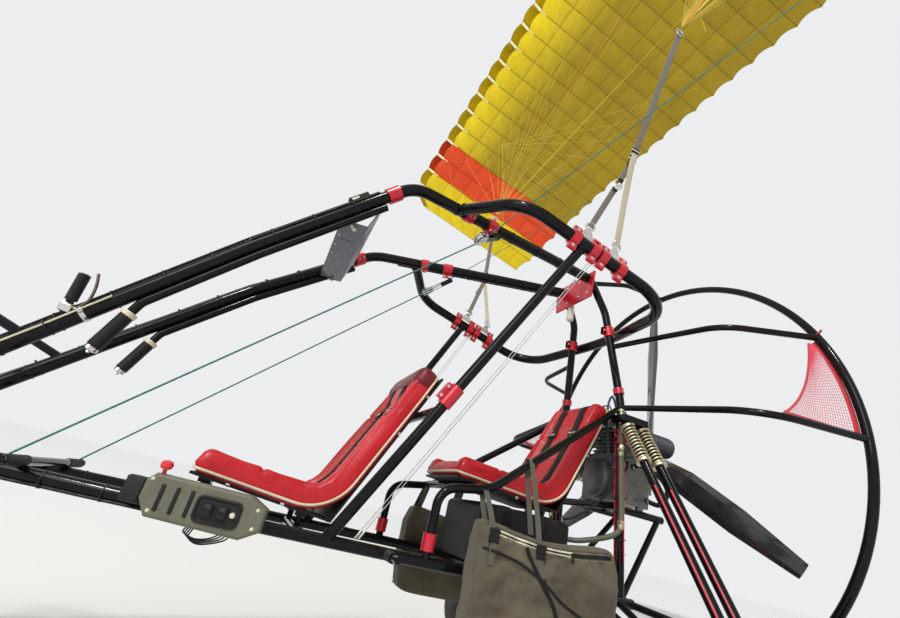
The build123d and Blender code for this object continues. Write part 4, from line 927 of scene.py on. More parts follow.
def dress_seat(name):
    """A seat's cover with its piping, seams, belts and bolts."""
    seat, cover = seat_cover(name)
    tree = surface_of(cover)
    hip_share = (seat.base_run + seat.arc * 0.5) / seat.total
    piping, thread, belts, metal, buckles = shapes(5)

    def lying(spots, lift):
        """Spots by share along and distance across, laid on the cover."""
        normals = [seat.spot(s)[1] for s, _ in spots]
        return laid_on(tree, [seat.place(s, y, 0) for s, y in spots], normals, lift)

    shares = spaced(0.03, COVER_TOP, 70)
    corners = [(0.012, 0.985, -0.047), (0.003, 0.94, -0.0445), (0.0, 0.8, -0.043)]
    edge = [(1 - s, wide * 0.915, depth) for s, wide, depth in reversed(corners)]
    edge += [(s, 1 - 0.085 * max(0, (s - TAPER_START) / TAPER_RUN) ** 2, -0.047) for s in reversed(shares)]
    edge += corners
    loop = [seat.place(s, seat.half * wide, depth) for s, wide, depth in edge]
    loop += [Vector((spot.x, -spot.y, spot.z)) for spot in reversed(loop)]
    piping.tube(loop, 0.0045, 8, closed=True)
    for side in (-1, 1):
        for inset in (-SEAM_GAP, SEAM_GAP):
            seam_y = side * (seat.half - BOLSTER + inset)
            stitches(thread, lying([(s, seam_y) for s in shares], THREAD_LIFT))
    seam_end = seat.half * 0.68
    for channel in seat.channels:
        for s in (channel - CHANNEL_GAP, channel + CHANNEL_GAP):
            stitches(thread, lying([(s, y) for y in spaced(-seam_end, seam_end, 24)], THREAD_LIFT))
    for side in (-1, 1):
        behind = ((1.0, -PAD - 0.03), (1.012, -0.03))
        start = [seat.place(s, side * BELT_Y, depth) for s, depth in behind]
        shares = spaced(COVER_TOP, hip_share + 0.02, 24)
        shoulder = lying([(s, side * (BELT_Y + 0.02 * (COVER_TOP - s))) for s in shares], 0.003)
        reach = [(hip_share - 0.015 - 0.2 * t, side * (LAP_Y - 0.075 * t**1.4)) for t in spaced(0, 1, 10)]
        lap = [seat.place(hip_share, side * 0.122, -0.035), *lying(reach, 0.004)]
        for path in ([*start, *shoulder[::3]], lap):
            strap(belts, spline(path, 4), BELT_WIDTH, BELT_THICK, RIGHT)
        clip, facing = shoulder[8], seat.spot(shares[8])[1]
        buckles.block(clip + facing * 0.004, seat.back_dir, RIGHT, (0.03, 0.056, 0.008), 0.003)
        metal.block(clip + facing * 0.0075, seat.back_dir, RIGHT, (0.006, 0.05, 0.003), 0.001)
        for s in (0.12, 0.3, 0.72, 0.9):
            spot = seat.place(s, side * (seat.half - 0.012), -PAD - SHELL * 0.4)
            metal.bolt(spot, RIGHT * side, 0.0055, nut=False)
    middle = lying([(hip_share - 0.225, 0)], 0.009)[0]
    buckles.block(middle, RIGHT, seat.base_dir, (0.07, 0.05, 0.016), 0.005)
    metal.block(middle + Vector((0, 0.05, -0.002)), RIGHT, seat.base_dir, (0.04, 0.036, 0.003), 0.001)
    piping.piece(f"{name}_seat_piping", CREAM_TRIM)
    thread.piece(f"{name}_seat_stitches", CREAM_TRIM)
    belts.piece(f"{name}_seat_belts", BLACK_WEBBING)
    buckles.piece(f"{name}_seat_buckles", BLACK_PLASTIC)
    metal.piece(f"{name}_seat_metal", BRIGHT_STEEL)


def head_roll(seat):
    """A rounded pad over the top of the front seat's back."""
    shape = Shape()
    steps, around, half = 44, 32, 0.2065
    square = 3.2  # the section's exponent: 2 would be an ellipse
    middle = seat.place(0.956, 0, -0.0165)
    rows = []
    for step in range(steps + 1):
        place = -cos(pi * step / steps)
        size = (1 - abs(place) ** 14) ** 0.5 if abs(place) < 1 else 0.0
        row = []
        for turn in turns(around):
            pinch = 1 - 0.05 * max(0.0, 1 - abs(abs(place) - 0.7) / 0.04)
            crease = 1 + 0.012 * noise.noise(Vector((place * 9, turn * 1.5, 2.0)))
            corners = abs(cos(turn)) ** square + abs(sin(turn)) ** square
            around_r = corners ** (-1 / square) * size * pinch * crease
            along, out = 0.05 * cos(turn) * around_r, 0.046 * sin(turn) * around_r
            row.append(middle + RIGHT * (place * half) + seat.back_dir * along + seat.back_normal * out)
        rows.append(row)
    shape.rows(rows, wrap_across=True)
    pad = shape.piece("front_head_roll", MAROON_VINYL, smooth=70)


for name in SEATS:
    dress_seat(name)
head_roll(Seat("front"))

# Saddle bags: sagging canvas sacks, zipped along the top and hung by straps from the seat rails
BAG_X = (0.2, 0.765)
BAG_Z = (0.345, 0.712)
BAG_INNER, BAG_DEPTH, ZIP_HEIGHT = 0.3185, 0.125, 0.9
MOUTH_PIPING, FOOT_PIPING = 0.945, 0.06  # shares of the height
MOUTH_SEAMS, FOOT_SEAM = (0.927, 0.862), 0.09
STRAP_STATIONS = (0.245, 0.43)
STRAP_SHARES = [(station - BAG_X[0]) / (BAG_X[1] - BAG_X[0]) for station in STRAP_STATIONS]
BAG_CORDS = (  # first and last share along, height at each end, sway, width
    (0.03, 0.97, 0.74, 0.28, 0.05, 0.009),
    (0.3, 0.6, 0.86, 0.16, -0.04, 0.013),
    (0.42, 0.64, 0.62, 0.12, -0.03, 0.007),
)


def bag_place(side, u, v, out):
    """A point by shares along and up the bag and its distance from the frame."""
    x = BAG_X[0] + (BAG_X[1] - BAG_X[0]) * u
    z = BAG_Z[0] + (BAG_Z[1] - BAG_Z[0]) * v
    return at(x, side * (BAG_INNER + out), z)


def sagging(u, v):
    """A height on the bag, lowered where its mouth hangs between the straps and the aft end."""
    return v - 0.09 * max(0.0, sin(pi * u)) ** 1.3 * v**3


def bag_folds(u, v, seed):
    """Creases of the cloth: rays from the straps, slanting folds and crumple."""
    rays = 0.0
    for share in (*STRAP_SHARES, 0.97):
        dx, dz = (u - share) * 1.5, 1.02 - v
        reach = sqrt(dx * dx + dz * dz)
        bearing = dx / (dz + 0.08)
        rays += (1 - abs(sin(bearing * 4.5 + seed))) * max(0.0, 1 - reach / 0.85)
    broad = 0.3 - abs(noise.noise(Vector((u * 3.4 + v * 1.9, v * 2.6 - u * 1.2, seed))))
    sharp = 0.3 - abs(noise.noise(Vector((u * 7 - v * 3.5, v * 6 + u * 2.5, seed + 5))))
    crumple = noise.noise(Vector((u * 17, v * 13, seed + 8)))
    return 0.018 * rays + 0.046 * broad + 0.022 * sharp + 0.003 * crumple - 0.004


def make_bag(name, side, replaced):
    """A sagging sack with closed ends, folded under its straps."""
    seed = 3.1 if side < 0 else 8.4
    outline = rounded(0.9, 0.52, 0.13, 6)
    points = []
    for (a, b), (c, d) in zip(outline, outline[1:] + outline[:1]):
        count = max(1, int(max(abs(c - a), abs(d - b)) / 0.035))
        points += [(a + (c - a) * k / count, b + (d - b) * k / count) for k in range(count)]
    long_half = max(a for a, _ in points)
    deep_half = max(b for _, b in points)
    levels = [(0.004, 0.5), (0.0, 0.74), (0.014, 0.88), (0.04, 0.955), (0.08, 0.99)]
    levels += [(v, 1.0) for v in spaced(0.08, 0.94, 30)[1:]]
    levels += [(0.965, 0.97), (0.985, 0.9), (0.99, 0.6), (0.985, 0.2)]
    rows = []
    for v, scale in levels:
        fullness = 0.66 + 0.22 * sin(pi * min(1.0, 0.16 + v * 0.72)) ** 0.8
        narrow = 1 - 0.3 * max(0.0, v - 0.72) / 0.28
        row = []
        for a, b in points:
            end = a / long_half
            spread = 0.93 + 0.07 * sin(pi * min(1.0, 0.1 + v * 0.8))
            wobble = 0.035 * noise.noise(Vector((end * 2, v * 4.5, seed + 3))) * abs(end)
            u = 0.5 + 0.5 * end * scale * (spread + wobble)
            depth = 0.5 + 0.5 * b / deep_half * scale
            out = BAG_DEPTH * depth * fullness * narrow
            if v > 0.9 and scale < 1:
                out = BAG_DEPTH * (0.42 + (depth - 0.5) * 0.8) * fullness * narrow
            outward = max(0.0, b / deep_half)
            fold = bag_folds(u, v, seed) * min(1.0, scale) * (0.15 + 0.85 * outward)
            fold += bag_folds(v, u, seed + 2) * 0.5 * (1 - outward) * min(1.0, v * 6)
            out = min(max(out + fold, 0.0008), BAG_DEPTH + 0.011)
            row.append(bag_place(side, u, sagging(u, v), out))
        rows.append(row if side > 0 else row[::-1])
    shape = Shape().body(rows)
    bag = shape.piece(name, CANVAS, replaces=replaced, smooth=80)
    subdivide = bag.modifiers.new("smooth", "SUBSURF")
    subdivide.levels = subdivide.render_levels = 1
    bag.data = bpy.data.meshes.new_from_object(bag.evaluated_get(bpy.context.evaluated_depsgraph_get()))
    bag.modifiers.clear()
    return bag


def dress_bag(name, side, bag):
    """A bag's seams, zip, hangers, buckles and slack cords."""
    tree = surface_of(bag)
    out = RIGHT * side
    trim, tape, webbing, hangers, buckle, thread = shapes(6)

    def outer(u, v, lift):
        """A spot on the bag's outer face by its shares, v before the mouth's sag."""
        return laid_on(tree, [bag_place(side, u, v, 0.1)], [out], lift)[0]

    def sewn(u, v, lift):
        return outer(u, sagging(u, v), lift)

    def along_mouth(first, last, reach, lift, count):
        """A smooth line along the mouth that clears the cloth's folds."""
        path = []
        for u in spaced(first, last, count):
            spots = [sewn(u, ZIP_HEIGHT + shift, lift) for shift in (-reach, 0.0, reach)]
            proud = max(spots, key=lambda spot: spot.y * side)
            path.append(Vector((spots[1].x, proud.y, spots[1].z)))
        return spline(path, 4)

    shares = spaced(0.04, 0.96, 50)
    trim.tube([sewn(u, MOUTH_PIPING, 0.002) for u in shares], 0.0032, 6)
    trim.tube([outer(u, FOOT_PIPING, 0.001) for u in shares], 0.003, 6)
    shares = spaced(0.06, 0.94, 60)
    seams = [[sewn(u, height, 2 * THREAD_LIFT) for u in shares] for height in MOUTH_SEAMS]
    for seam in (*seams, [outer(u, FOOT_SEAM, 2 * THREAD_LIFT) for u in shares]):
        stitches(thread, seam, pitch=0.01)
    zip_path = along_mouth(first=0.1, last=0.65, reach=0.018, lift=0.0018, count=11)
    strap(tape, zip_path, 0.016, 0.0014, DOWN)
    for first, second in zip(zip_path, zip_path[1:]):
        for part in (0.0, 0.36, 0.68):
            tooth = first.lerp(second, part) + out * 0.0016
            buckle.block(tooth, AFT, UP, (0.0018, 0.005, 0.0018), 0.0004)
    pull = zip_path[-1] + out * 0.004 + DOWN * 0.012
    buckle.block(pull, UP, AFT, (0.026, 0.009, 0.003), 0.001)
    for station, u in zip(STRAP_STATIONS, STRAP_SHARES):
        rail = on((SEAT_RAIL_LOW, SEAT_RAIL_TOP), side, station)
        beside = out * (RAIL_R + 0.002)
        over = [rail - beside, rail + UP * (RAIL_R + 0.003), rail + beside]
        hang = [sewn(u, v, 0.003) for v in (0.93, 0.86, 0.78, 0.7, 0.62)]
        shoulder = hang[0] + (over[-1] - hang[0]) * 0.4 + out * 0.004
        path = [bag_place(side, u, 0.93, 0.03), *over, shoulder, *hang]
        strap(hangers, spline(path, 5), 0.022, 0.002, AFT)
        clip = hang[1]
        buckle.block(clip + out * 0.005, UP, AFT, (0.046, 0.036, 0.009), 0.003)
        for lift in (-0.016, 0.0, 0.016):
            buckle.block(clip + out * 0.0105 + UP * lift, AFT, UP, (0.036, 0.005, 0.005), 0.002)
    strap(webbing, along_mouth(first=0.64, last=0.95, reach=0.02, lift=0.002, count=7), 0.012, 0.0014, DOWN)
    for first, last, high, low, sway, width in BAG_CORDS:
        slack = []
        for share in spaced(0, 1, 24):
            v = high + (low - high) * share + sway * sin(pi * share * 2)
            slack.append(outer(first + (last - first) * share, sagging(first, v), 0.0035))
        strap(webbing, slack, width, 0.0018, DOWN)
    trim.piece(f"{name}_piping", CANVAS_EDGE)
    tape.piece(f"{name}_zip_tape", CREAM_TRIM)
    webbing.piece(f"{name}_straps", BLACK_WEBBING)
    hangers.piece(f"{name}_hangers", CANVAS_EDGE)
    buckle.piece(f"{name}_buckles", BLACK_PLASTIC)
    thread.piece(f"{name}_stitches", CREAM_TRIM)


for name, side in SIDES:
    bag = make_bag(f"bag_{name}", side, ["saddle_bags"] if side < 0 else ())
    dress_bag(f"bag_{name}", side, bag)

# Side nets: crossed cords in a bound triangle
RING_R, RING_Z = 0.94, 1.19
NET_REACH = RING_R - 0.019


def from_ring(turn, fore, inward, above, side):
    angle = radians(turn)
    out, up = RING_R * sin(angle) - inward, RING_R * cos(angle) + above
    return at(RING_STATION - fore, side * out, RING_Z + up)


NET_ROWS, NET_COLUMNS = 32, 26
NET_LOW, NET_TOP = 87.5, 61.5
CORD_R, NET_EDGE = 0.00085, (0.02, 0.0022)
net_border, net_cords = shapes(2)


def net_point(side, s, t):
    """A net's point by shares from its free edge to the ring and from its low edge to its top."""
    low = from_ring(NET_LOW, 0.312, 0.079, 0.012, side)
    top = from_ring(60.7, 0.03, 0.02, -0.03, side)
    inner = from_ring(80, 0.13, 0.075, 0.0, side)
    free = low * (1 - t) ** 2 + inner * 2 * t * (1 - t) + top * t**2
    turn = radians(NET_LOW + (NET_TOP - NET_LOW) * t)
    ring = at(RING_STATION - 0.004, side * NET_REACH * sin(turn), RING_Z + NET_REACH * cos(turn))
    return free.lerp(ring, s) - RIGHT * (side * 0.014 * sin(pi * s) * sin(pi * t))


for _, side in SIDES:
    for k in range(1, NET_ROWS):
        net_cords.tube([net_point(side, s, k / NET_ROWS) for s in spaced(0, 1, 6)], CORD_R, 4)
    for k in range(1, NET_COLUMNS):
        net_cords.tube([net_point(side, k / NET_COLUMNS, t) for t in spaced(0, 1, 10)], CORD_R, 4)
    net_border.tube([net_point(side, 0, t) for t in spaced(0, 1, 24)], 0.0042, 8)
    wide = net_point(side, 0.4, 0.5) - net_point(side, 1, 0.5)
    strap(net_border, [net_point(side, 0.965, t) for t in spaced(0, 1, 24)], *NET_EDGE, wide)
    strap(net_border, [net_point(side, s, 0.02) for s in spaced(0, 1, 12)], *NET_EDGE, UP)
    tail = net_point(side, 1, 1)
    loose = [tail, tail + Vector((-0.004, side * 0.012, 0.03)), tail + Vector((0, side * 0.03, 0.05))]
    strap(net_border, loose, 0.014, 0.002, AFT)
net_cords.piece("net_cords", NET_CORD, replaces=["ring_nets"])
net_border.piece("net_borders", RED_BINDING)

# Fasteners on clamps, brackets and plates
COLLAR_R = FRAME_R + 0.006
GUSSET_FACES = ((0.72, -1), (0.73, 1))
GUSSET_BOLTS = ((0.05, 1.965), (0.13, 1.965), (0.05, 1.88), (0.12, 1.88))
CLAMPS = (  # tube line, station, tube radius, length, way its boss points on the right side
    (CLIMB, -0.402, MAIN_R, 0.055, (0, -1, 0.2)),
    (LEVEL, -0.058, MAIN_R, 0.04, (0, 1, -0.3)),
    (LEVEL, 0.066, MAIN_R, 0.05, (0.2, 0.3, -1)),
    (STRUT, -0.26 + (1.054 - 0.53) * 0.4937, FRAME_R, 0.08, (-1, 0, 0.4)),
)
bolts, bosses = shapes(2)
for _, side in SIDES:
    out = RIGHT * side
    for number, station in enumerate(RISER_STATIONS):
        for rise in (-LOBE_RISE, LOBE_RISE):
            if number == 1 and rise > 0:
                continue
            for way in (-1, 1):
                seat_at = hoop_spot(side, station, rise) + RIGHT * (way * LOBE_T / 2)
                bolts.bolt(seat_at, RIGHT * way, 0.0075, nut=way * side < 0)
    for line, station, radius, length, way in CLAMPS:
        heading = run_of(line, side)
        way = squared((way[0], way[1] * side, way[2]), heading)
        across = heading.cross(way)
        boss = on(line, side, station) + way * (radius + 0.013)
        bosses.block(boss, heading, across, (length * 0.82, 0.024, 0.018), 0.003)
        for along in (-0.25, 0.25):
            for face in (-1, 1):
                spot = boss + heading * (length * along) + across * (face * 0.012)
                bolts.bolt(spot, across * face, 0.005, nut=face > 0)
    for z, line in ((1.17, MAST_LOW), (1.69, MAST_HIGH)):
        share = (z - line[0][2]) / (line[1][2] - line[0][2])
        centre = corner(line[0], side).lerp(corner(line[1], side), share) - Vector((0.033, 0, 0))
        for face in (-1, 1):
            bosses.block(centre, UP, RIGHT, (0.04, 0.022, 0.016), 0.003)
            bolts.bolt(centre + RIGHT * (face * 0.011), RIGHT * face, 0.005, nut=face > 0)
    neck_way = corner(NECK, side) - corner(WAIST, side)
    collar = corner(WAIST, side) + neck_way * 0.08
    bosses.lathe(collar, neck_way, band(FRAME_R, COLLAR_R, 0.03, 0.001), 28)
    bolts.bolt(collar + out * COLLAR_R + UP * 0.015, out, 0.005)
    for shift in (-LEG_SPREAD, LEG_SPREAD):
        for along in (-0.024, 0.024):
            bolts.bolt(at(0.93 + shift + along, side * 0.232, 1.257), UP, 0.0065)
        for z in (0.235, 0.32):
            bolts.bolt(at(AXLE_X + shift * 1.35, side * 0.76, z), -out, 0.007)
    bolts.bolt(at(AXLE_X, side * 1.02, AXLE_Z), out, 0.014)
    for y, z in GUSSET_BOLTS:
        for station, way in GUSSET_FACES:
            bolts.bolt(at(station, side * y, z), AFT * way, 0.006)
bosses.piece("clamp_bosses", RED_ANODISED)
bolts.piece("clamp_bolts", BRIGHT_STEEL)

# Pulley covers with rivets
covers = Shape()
FOOT_BAR_X = -1.12
FOOT_START, BEND_AT = (FOOT_BAR_X, 0.3, 0.577), (0.017, 0.3, 1.774)
COVER = [(0.03, 0), (0.03, 0.0015), (0.026, 0.003), (0.01, 0.0036)]
for _, side in SIDES:
    start, over = corner(FOOT_START, side), corner(BEND_AT, side)
    target = chord_point(side * 7 * SPAN_ANGLE / 20, 0.985, 0)
    coming, going = (over - start).normalized(), (target - over).normalized()
    axis = coming.cross(going).normalized()
    middle = over + (going - coming).normalized() * (0.0293 / cos(coming.angle(going) / 2))
    for way in (-axis, axis):
        face = middle + way * 0.0126
        covers.lathe(face, way, COVER, 28)
        for turn in turns(5):
            spoke = axis.orthogonal().normalized()
            spoke.rotate(Matrix.Rotation(turn, 3, axis))
            covers.lathe(face + spoke * 0.021 + way * 0.003, way, [(0.0025, 0), (0.0018, 0.0015)], 8)
        covers.bolt(face + way * 0.0036, way, 0.006)
covers.piece("pulley_covers", BRIGHT_STEEL)


# Cables clipped to the tubes
tie_bands = Shape()
TIE_SPACING, TIE_WIDTH, TIE_THICK = 0.16, 0.004, 0.0014


def clipped(shape, line, side, first, last, way, radius):
    """A cable along a tube's straight run, held by ties."""
    tube_r = MAIN_R if line[0] in (KNEE, BEND, UPPER_NOSE) else FRAME_R
    heading = run_of(line, side)
    way = squared(way, heading)
    across = heading.cross(way)
    lift = way * (tube_r + radius)
    count = max(2, int(abs(last - first) / 0.04))
    path = []
    for station in spaced(first, last, count):
        shift = noise.noise(Vector((station * 6, side, way.z))) * 0.006
        path.append(on(line, side, station) + lift + across * shift)
    shape.tube(path, radius, 8)
    total = (path[-1] - path[0]).length
    for k in range(1, int(total / TIE_SPACING) + 1):
        centre = path[0].lerp(path[-1], (k - 0.5) * TIE_SPACING / total) - lift
        loop = []
        for turn in turns(20):
            bump = 2 * radius * max(0.0, cos(turn)) ** 3
            loop.append(centre + (way * cos(turn) + across * sin(turn)) * (tube_r + 0.0012 + bump))
        tie_bands.sweep(loop, flat(TIE_WIDTH, TIE_THICK), side=heading, closed=True)


black_cable, cream_cable = shapes(2)
for _, side in SIDES:
    clipped(black_cable, CLIMB, side, -0.81, -0.44, (-0.7, side * 0.3, 0.6), 0.0042)
    clipped(black_cable, CLIMB, side, -0.81, -0.44, (-0.5, side * 0.8, 0.5), 0.003)
    clipped(black_cable, NOSE_RUN, side, -1.5, -0.81, (-0.7, side * 0.3, 0.6), 0.0042)
    clipped(cream_cable, NOSE_RUN, side, -1.52, -1.12, (-0.2, side, 0.2), 0.0032)
    clipped(black_cable, LEVEL, side, -0.2, 0.7, (0, side * 0.5, -1), 0.0035)
    clipped(black_cable, MAST_LOW, side, 0.945, 0.908, (-1, side * 0.2, 0), 0.004)
    clipped(black_cable, RAIL_FORE, side, -1.45, -0.55, (0, side * 0.4, -1), 0.0045)
black_cable.piece("clipped_cables", BLACK_PLASTIC)
cream_cable.piece("cream_cables", CREAM_TRIM)

# Along each mast: a fuel hose into the tank, its fittings, and red leads
LEG_TOP, LEG_LOW = (0.93, 0.262, 1.235), (AXLE_X, 0.79, 0.33)
HOSE_NUT = [(0.0135, 0), (0.015, 0.002), (0.015, 0.014), (0.0135, 0.016)]
HOSE_SLEEVE = [(0.0125, 0.014), (0.0125, 0.03), (0.0115, 0.034)]
TOP_CAP = [(0.01, -0.004), (0.01, 0.018), (0.015, 0.02), (0.015, 0.03), (0.007, 0.036)]
SIDE_CAP = [(0.008, 0), (0.008, 0.018), (0.011, 0.019), (0.011, 0.028), (0.006, 0.03)]
tank_low, tank_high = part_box("fuel_tank")
fuel_hose, mast_fittings, red_leads, stripes = shapes(4)
for _, side in SIDES:
    hose_way = Vector((-0.55, side * 0.83, 0)).normalized()
    port = Vector((tank_high.x, side * 0.1, tank_high.z - 0.06))
    beside = hose_way * (FRAME_R + 0.0115)
    path = [on(MAST_LOW, side, station) + beside for station in (0.909, 0.917, 0.925, 0.9335)]
    top, low = path[0], path[-1]
    path += [low + Vector((-0.02, -side * 0.012, -0.06)), port + Vector((0.09, side * 0.05, 0.012))]
    path.append(port + Vector((0.03, 0, 0)))
    fuel_hose.tube(spline(path, 8), 0.011, 12)
    for spot, heading in ((top, DOWN), (path[1], DOWN), (low, DOWN), (port, AFT)):
        mast_fittings.lathe(spot, heading, HOSE_NUT, 6)
        mast_fittings.lathe(spot, heading, HOSE_SLEEVE, 18)
    mast_fittings.lathe(top, UP, TOP_CAP, 16)
    mast_fittings.lathe(path[1], hose_way, SIDE_CAP, 14)
    for fore, out, last in ((-1, -0.5, 0.914), (0.1, 1, 0.92), (-0.95, 0.25, 0.916)):
        clipped(red_leads, MAST_LOW, side, 0.942, last, (fore, side * out, 0), 0.0024)
    for shift in (-LEG_SPREAD, LEG_SPREAD):
        leg = ((LEG_TOP[0] + shift, *LEG_TOP[1:]), (LEG_LOW[0] + shift, *LEG_LOW[1:]))
        heading = run_of(leg, side)
        face = squared((-0.75, side * 0.35, 0.25), heading)
        stations = [leg[0][0] + 0.11 * share for share in (0.3, 0.5, 0.7, 0.84)]
        line = [on(leg, side, station) + face * (FRAME_R + 0.0003) for station in stations]
        strap(stripes, line, 0.006, 0.0012, heading.cross(face))
fuel_hose.piece("fuel_hoses", OLIVE_PLASTIC)
mast_fittings.piece("mast_fittings", ZINC)
red_leads.piece("red_leads", RED_KNOB)
stripes.piece("leg_stripes", RED_KNOB)
tie_bands.piece("cable_ties", BLACK_PLASTIC)

# Two stay wires under each strut, from the hoop to the rail
stays = Shape()
for _, side in SIDES:
    for offset in (0.03, 0.042):
        top = hoop_spot(side, 0.372 + offset, -MAIN_R - 0.004)
        foot = at(-0.2 + offset, side * 0.283, 0.552)
        stays.tube([top, foot], 0.0016, 6)
        for end, other in ((top, foot), (foot, top)):
            heading = (other - end).normalized()
            stays.lathe(end, heading, [(0.0035, 0), (0.0042, 0.004), (0.0042, 0.03), (0.002, 0.036)], 10)
stays.piece("stay_wires", BRIGHT_STEEL)

# Hand controls at the nose
grip_rings, fittings, levers, cream_rings, switch_boxes, brackets = shapes(6)
LEVER_FOOT, LEVER_WAY = on(NOSE_RUN, -1, -1.235), Vector((0.1, -0.35, 0.93)).normalized()
LEVER_BLADE = ((0.07, 0.028, 0), (0.1, 0.046, -0.006), (0.145, 0.046, -0.01), (0.185, 0.036, -0.012))
across = LEVER_WAY.orthogonal().normalized()
for along in spaced(0.088, 0.1672, 12):
    spot = LEVER_FOOT + LEVER_WAY * along
    grip_rings.tube(circle(spot, across, LEVER_WAY.cross(across), 0.0172, 18), 0.0013, 5, closed=True)
blade = [LEVER_FOOT + LEVER_WAY * along + Vector((fore, right, 0)) for along, fore, right in LEVER_BLADE]
strap(levers, spline(blade, 6), 0.011, 0.006, RIGHT)
fittings.block(LEVER_FOOT + LEVER_WAY * 0.06, LEVER_WAY, RIGHT, (0.03, 0.034, 0.036), 0.006)
pivot = LEVER_FOOT + LEVER_WAY * 0.062 + Vector((0.015, 0, 0))
fittings.lathe(pivot, (1, 0, 0.2), [(0.006, 0), (0.006, 0.02), (0.004, 0.024)], 12)
centre, heading = on(NOSE_RUN, -1, -1.185), run_of(NOSE_RUN, -1)
fittings.lathe(centre - heading * 0.007, heading, band(MAIN_R + 0.0015, MAIN_R + 0.003, 0.014), 28)
fittings.block(centre - RIGHT * (MAIN_R + 0.009), heading, RIGHT, (0.016, 0.018, 0.014), 0.003)
fittings.bolt(centre - RIGHT * (MAIN_R + 0.018), -RIGHT, 0.0045)
HAND_R, HAND_END, GRIP_LENGTH, GRIP_R = 0.015, 0.19, 0.139, 0.022
HAND_DOWN = Vector((sin(radians(47)), 0, -cos(radians(47)))) * (MAIN_R + HAND_R - 0.001)
GRIP_COLLAR = [(HAND_R, 0), (GRIP_R + 0.003, 0.001), (GRIP_R + 0.004, 0.009), (GRIP_R + 0.003, 0.017)]
GRIP_COLLAR.append((HAND_R, 0.018))
GRIP_RING = band(GRIP_R - 0.001, GRIP_R + 0.0012, 0.0044, 0.0012)
GRIP_CAP = [(GRIP_R - 0.003, -0.004), (GRIP_R - 0.001, 0), (GRIP_R - 0.001, 0.009), (0.006, 0.014)]
for _, side in SIDES:
    bend = on(NOSE_RUN, side, -1.08) + HAND_DOWN
    knee = corner(KNEE, side) + HAND_DOWN
    drop = ((bend - knee).normalized() + Vector((0.15, 0, -0.75))).normalized()
    grip_top, tip = bend + drop * (HAND_END - GRIP_LENGTH), bend + drop * HAND_END
    cream_rings.lathe(grip_top - drop * 0.009, drop, GRIP_COLLAR, 32)
    fittings.lathe(tip, drop, GRIP_CAP, 28)
    fittings.bolt(tip + drop * 0.013, drop, 0.007)
    for along in spaced(0.014, 0.1299, 19):
        grip_rings.lathe(grip_top + drop * along, drop, GRIP_RING, 28)
    # A small switch box on the upper tube, and a bracket that carries the folded panel
    heading = run_of(CLIMB, side)
    up = Vector((-heading.z, 0, heading.x)).normalized()
    top = on(CLIMB, side, -0.5) + up * (MAIN_R + 0.009)
    switch_boxes.block(top, heading, RIGHT, (0.085, 0.034, 0.022), 0.004)
    label = top + RIGHT * (side * 0.0175) - heading * 0.018
    cream_rings.block(label, heading, up, (0.03, 0.009, 0.003), 0.001)
    for shift in (-0.03, 0.03):
        fittings.bolt(top + heading * shift + up * 0.0105, up, 0.0035, nut=False)
    hanger = on(CLIMB, side, -0.545) - up * (MAIN_R - 0.002)
    panel_bolt = hanger - up * 0.042 - RIGHT * (side * 0.028)
    strap(brackets, [hanger, hanger.lerp(panel_bolt, 0.5), panel_bolt], 0.02, 0.004, heading)
    fittings.bolt(panel_bolt, RIGHT * side, 0.009)
grip_rings.piece("grip_rings", BLACK_VINYL)
levers.piece("hand_lever", HOT_STEEL)
cream_rings.piece("grip_collars", CREAM_TRIM)
switch_boxes.piece("switch_boxes", BLACK_PLASTIC)
brackets.piece("panel_brackets", ZINC)
fittings.piece("nose_fittings", BRIGHT_STEEL)

# Console: switch plate, rockers, lamp, knob and leads
RAIL_WAY = Vector((1.11, -0.15, 0)).normalized()
CONSOLE_OUT = Vector((-0.15, -1.11, 0)).normalized()
CONSOLE_AT = on(RAIL_FORE, -1, -0.62) + CONSOLE_OUT * (FRAME_R + 0.062)
CONSOLE_AT.z = 0.56
PLATE_AT, PLATE_LOW = 0.045, -0.012  # middle of the switch plate, along and up


def panel_spot(along, up, out=0.0):
    return CONSOLE_AT + RAIL_WAY * along + Vector((0, 0, up)) + CONSOLE_OUT * out


LAMP = [(0.008, 0), (0.008, 0.004), (0.006, 0.008), (0.002, 0.0095)]
KNOB = [(0.006, 0), (0.006, 0.02), (0.015, 0.024), (0.018, 0.032), (0.014, 0.042), (0.004, 0.045)]
bezel, rockers, lamps, knobs, leads = shapes(5)
frame_path = [panel_spot(PLATE_AT + a, PLATE_LOW + b, 0.002) for a, b in rounded(0.09, 0.036, 0.014, 6)]
bezel.tube(frame_path, 0.005, 8, closed=True)
bezel.block(panel_spot(PLATE_AT, PLATE_LOW, 0.001), RAIL_WAY, UP, (0.112, 0.058, 0.004), 0.0015)
for along in (0.018, 0.058):
    rockers.block(panel_spot(along, PLATE_LOW, 0.006), RAIL_WAY, UP, (0.028, 0.034, 0.012), 0.004)
    rockers.block(panel_spot(along, -0.004, 0.012), RAIL_WAY, (0, 0.35, 1), (0.022, 0.016, 0.007), 0.003)
lamps.lathe(panel_spot(0.088, PLATE_LOW, 0.003), CONSOLE_OUT, LAMP, 20)
knobs.lathe(panel_spot(-0.135, 0.045, -0.02), (0, -0.3, 1), KNOB, 24)
rockers.block(panel_spot(-0.192, -0.002, -0.03), RAIL_WAY, UP, (0.05, 0.07, 0.05), 0.006)
for along in (-0.115, -0.075, -0.035):
    bezel.block(panel_spot(along, -0.008, 0.0015), RAIL_WAY, UP, (0.01, 0.07, 0.005), 0.002)
for along, up in ((-0.15, 0.035), (0.15, 0.015), (0.15, -0.035), (-0.13, -0.045)):
    lamps.bolt(panel_spot(along, up), CONSOLE_OUT, 0.0045, nut=False)
